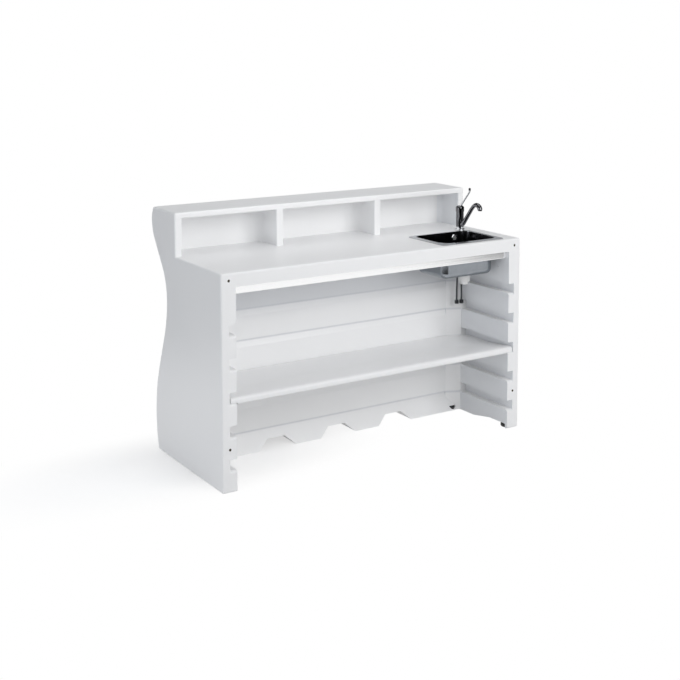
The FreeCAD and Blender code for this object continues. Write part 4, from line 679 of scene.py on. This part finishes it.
def make_floor():
    """Pale floor that keeps the shadow near the counter and fades to plain white."""
    bm = bmesh.new()
    bmesh.ops.create_grid(bm, x_segments=1, y_segments=1, size=FLOOR_REACH)
    mesh = bake(bm, "floor")
    f = Finish("floor", Roughness=0.9, Specular_IOR_Level=0.0)
    speckle = f.noise(SPECKLE_SCALE, 2.0)
    f.feed(f.shader.inputs["Base Color"], f.tint(speckle, FLOOR_DARK, FLOOR_LIGHT))
    distance = f.node("ShaderNodeVectorMath", {"operation": "LENGTH"}, {0: f.place()}, "Value")
    offset = f.node("ShaderNodeVectorMath", {"operation": "ADD"},
                    {0: f.place(FLOOR_STRETCH), 1: FLOOR_CENTRE}, "Vector")
    spread = f.node("ShaderNodeVectorMath", {"operation": "LENGTH"}, {0: offset}, "Value")
    far = f.ramp(spread, WHITE_FROM, WHITE_WITHIN)
    polished = f.node("ShaderNodeLightPath", output="Is Glossy Ray")
    direct = f.node("ShaderNodeLightPath", output="Is Camera Ray")
    through = f.node("ShaderNodeLightPath", output="Is Transmission Ray")
    seen = direct.highest(polished).highest(through)
    fade = f.ramp(distance, GLOSS_FROM, GLOSS_TO, high=1.0 - GLOSS_FAR)
    left = f.ramp(f.axis("X"), DARK_RIGHT, DARK_LEFT)
    beyond = f.ramp(distance, DARK_FROM, DARK_TO)
    level = 1.0 - fade.highest(left * beyond) * polished
    glow = f.node("ShaderNodeEmission", {}, {"Strength": seen * FLOOR_GLOW})
    lit = f.node("ShaderNodeAddShader", {}, {0: Field(f, f.shader.outputs[0]), 1: glow})
    plain = f.node("ShaderNodeEmission", {}, {"Strength": level})
    blend = f.node("ShaderNodeMixShader", {}, {0: far * seen, 1: lit, 2: plain})
    f.feed(f.tree.nodes["Material Output"].inputs["Surface"], blend)
    mesh.materials.append(f.material)
    link("floor", mesh)


make_floor()


# ---------------------------------------------------------------- world

AMBIENT = 0.29
SKY_TINT = (0.955, 0.972, 1.0)
PLAIN_WHITE = (1.0, 1.0, 1.0)
# Polished metal sees a dark room, with a pale wall low behind the counter
ROOM_DARK = 0.02
WALL_PALE = 0.50
WALL_LOW = 0.04
WALL_LOW_EDGE = 0.03
WALL_HIGH = 0.34
WALL_HIGH_EDGE = 0.06
WALL_SIDE = 0.72
WALL_SIDE_EDGE = 0.12


def make_world():
    """White to the camera, a soft fill to the surfaces, and a dark room to polished metal."""
    world = bpy.data.worlds.new("studio")
    bpy.context.scene.world = world
    world.use_nodes = True
    g = Graph(world.node_tree)
    direct = g.node("ShaderNodeLightPath", output="Is Camera Ray")
    through = g.node("ShaderNodeLightPath", output="Is Transmission Ray")
    polished = g.node("ShaderNodeLightPath", output="Is Glossy Ray")
    seen = direct.highest(through)
    way = g.node("ShaderNodeTexCoord", output="Generated")
    height, side = g.part(way, "Z"), g.part(way, "Y")
    wall = (g.ramp(height, WALL_LOW - WALL_LOW_EDGE, WALL_LOW)
            * g.ramp(height, WALL_HIGH, WALL_HIGH - WALL_HIGH_EDGE)
            * g.ramp(side, WALL_SIDE - WALL_SIDE_EDGE, WALL_SIDE))
    strength = g.node("ShaderNodeMix", {},
                      {"Factor": polished, "A": g.share(seen, AMBIENT, 1.0),
                       "B": g.share(wall, ROOM_DARK, WALL_PALE)}, "Result")
    back = g.tree.nodes["Background"]
    g.feed(back.inputs["Color"], g.tint(seen, SKY_TINT, PLAIN_WHITE))
    g.feed(back.inputs["Strength"], strength)


make_world()


# ---------------------------------------------------------------- lamps

class Lamp(NamedTuple):
    """A rectangle of light: where it stands, what it faces, its size and its watts."""
    place: tuple
    aim: tuple
    size: tuple
    power: float
    colour: tuple = PLAIN_WHITE
    shines: bool = True


LAMPS = {
    "front_box": Lamp((0.9, -4.2, 2.5), (0.1, 0.0, 0.75), (3.8, 3.4), 122.0),
    "side_box": Lamp((-4.3, -0.6, 1.5), (-0.8, 0.0, 0.6), (2.4, 2.4), 42.0,
                     colour=(0.93, 0.96, 1.0)),
    "top_box": Lamp((0.4, 0.1, 4.0), (0.0, 0.1, 0.9), (3.5, 3.0), 33.0),
    "back_box": Lamp((0.6, 4.6, 2.2), (0.0, 0.0, 0.7), (3.6, 2.4), 55.0, shines=False),
}


def make_lamp(name, box):
    lamp = bpy.data.lights.new(name, "AREA")
    lamp.shape = "RECTANGLE"
    lamp.size, lamp.size_y = box.size
    lamp.energy = box.power
    lamp.color = box.colour
    piece = link(name, lamp)
    piece.location = box.place
    aim = Vector(box.aim) - Vector(box.place)
    piece.rotation_euler = aim.to_track_quat("-Z", "Y").to_euler()
    piece.visible_glossy = box.shines


for lamp_name, lamp_box in LAMPS.items():
    make_lamp(lamp_name, lamp_box)

bpy.context.scene.view_settings.view_transform = "Standard"
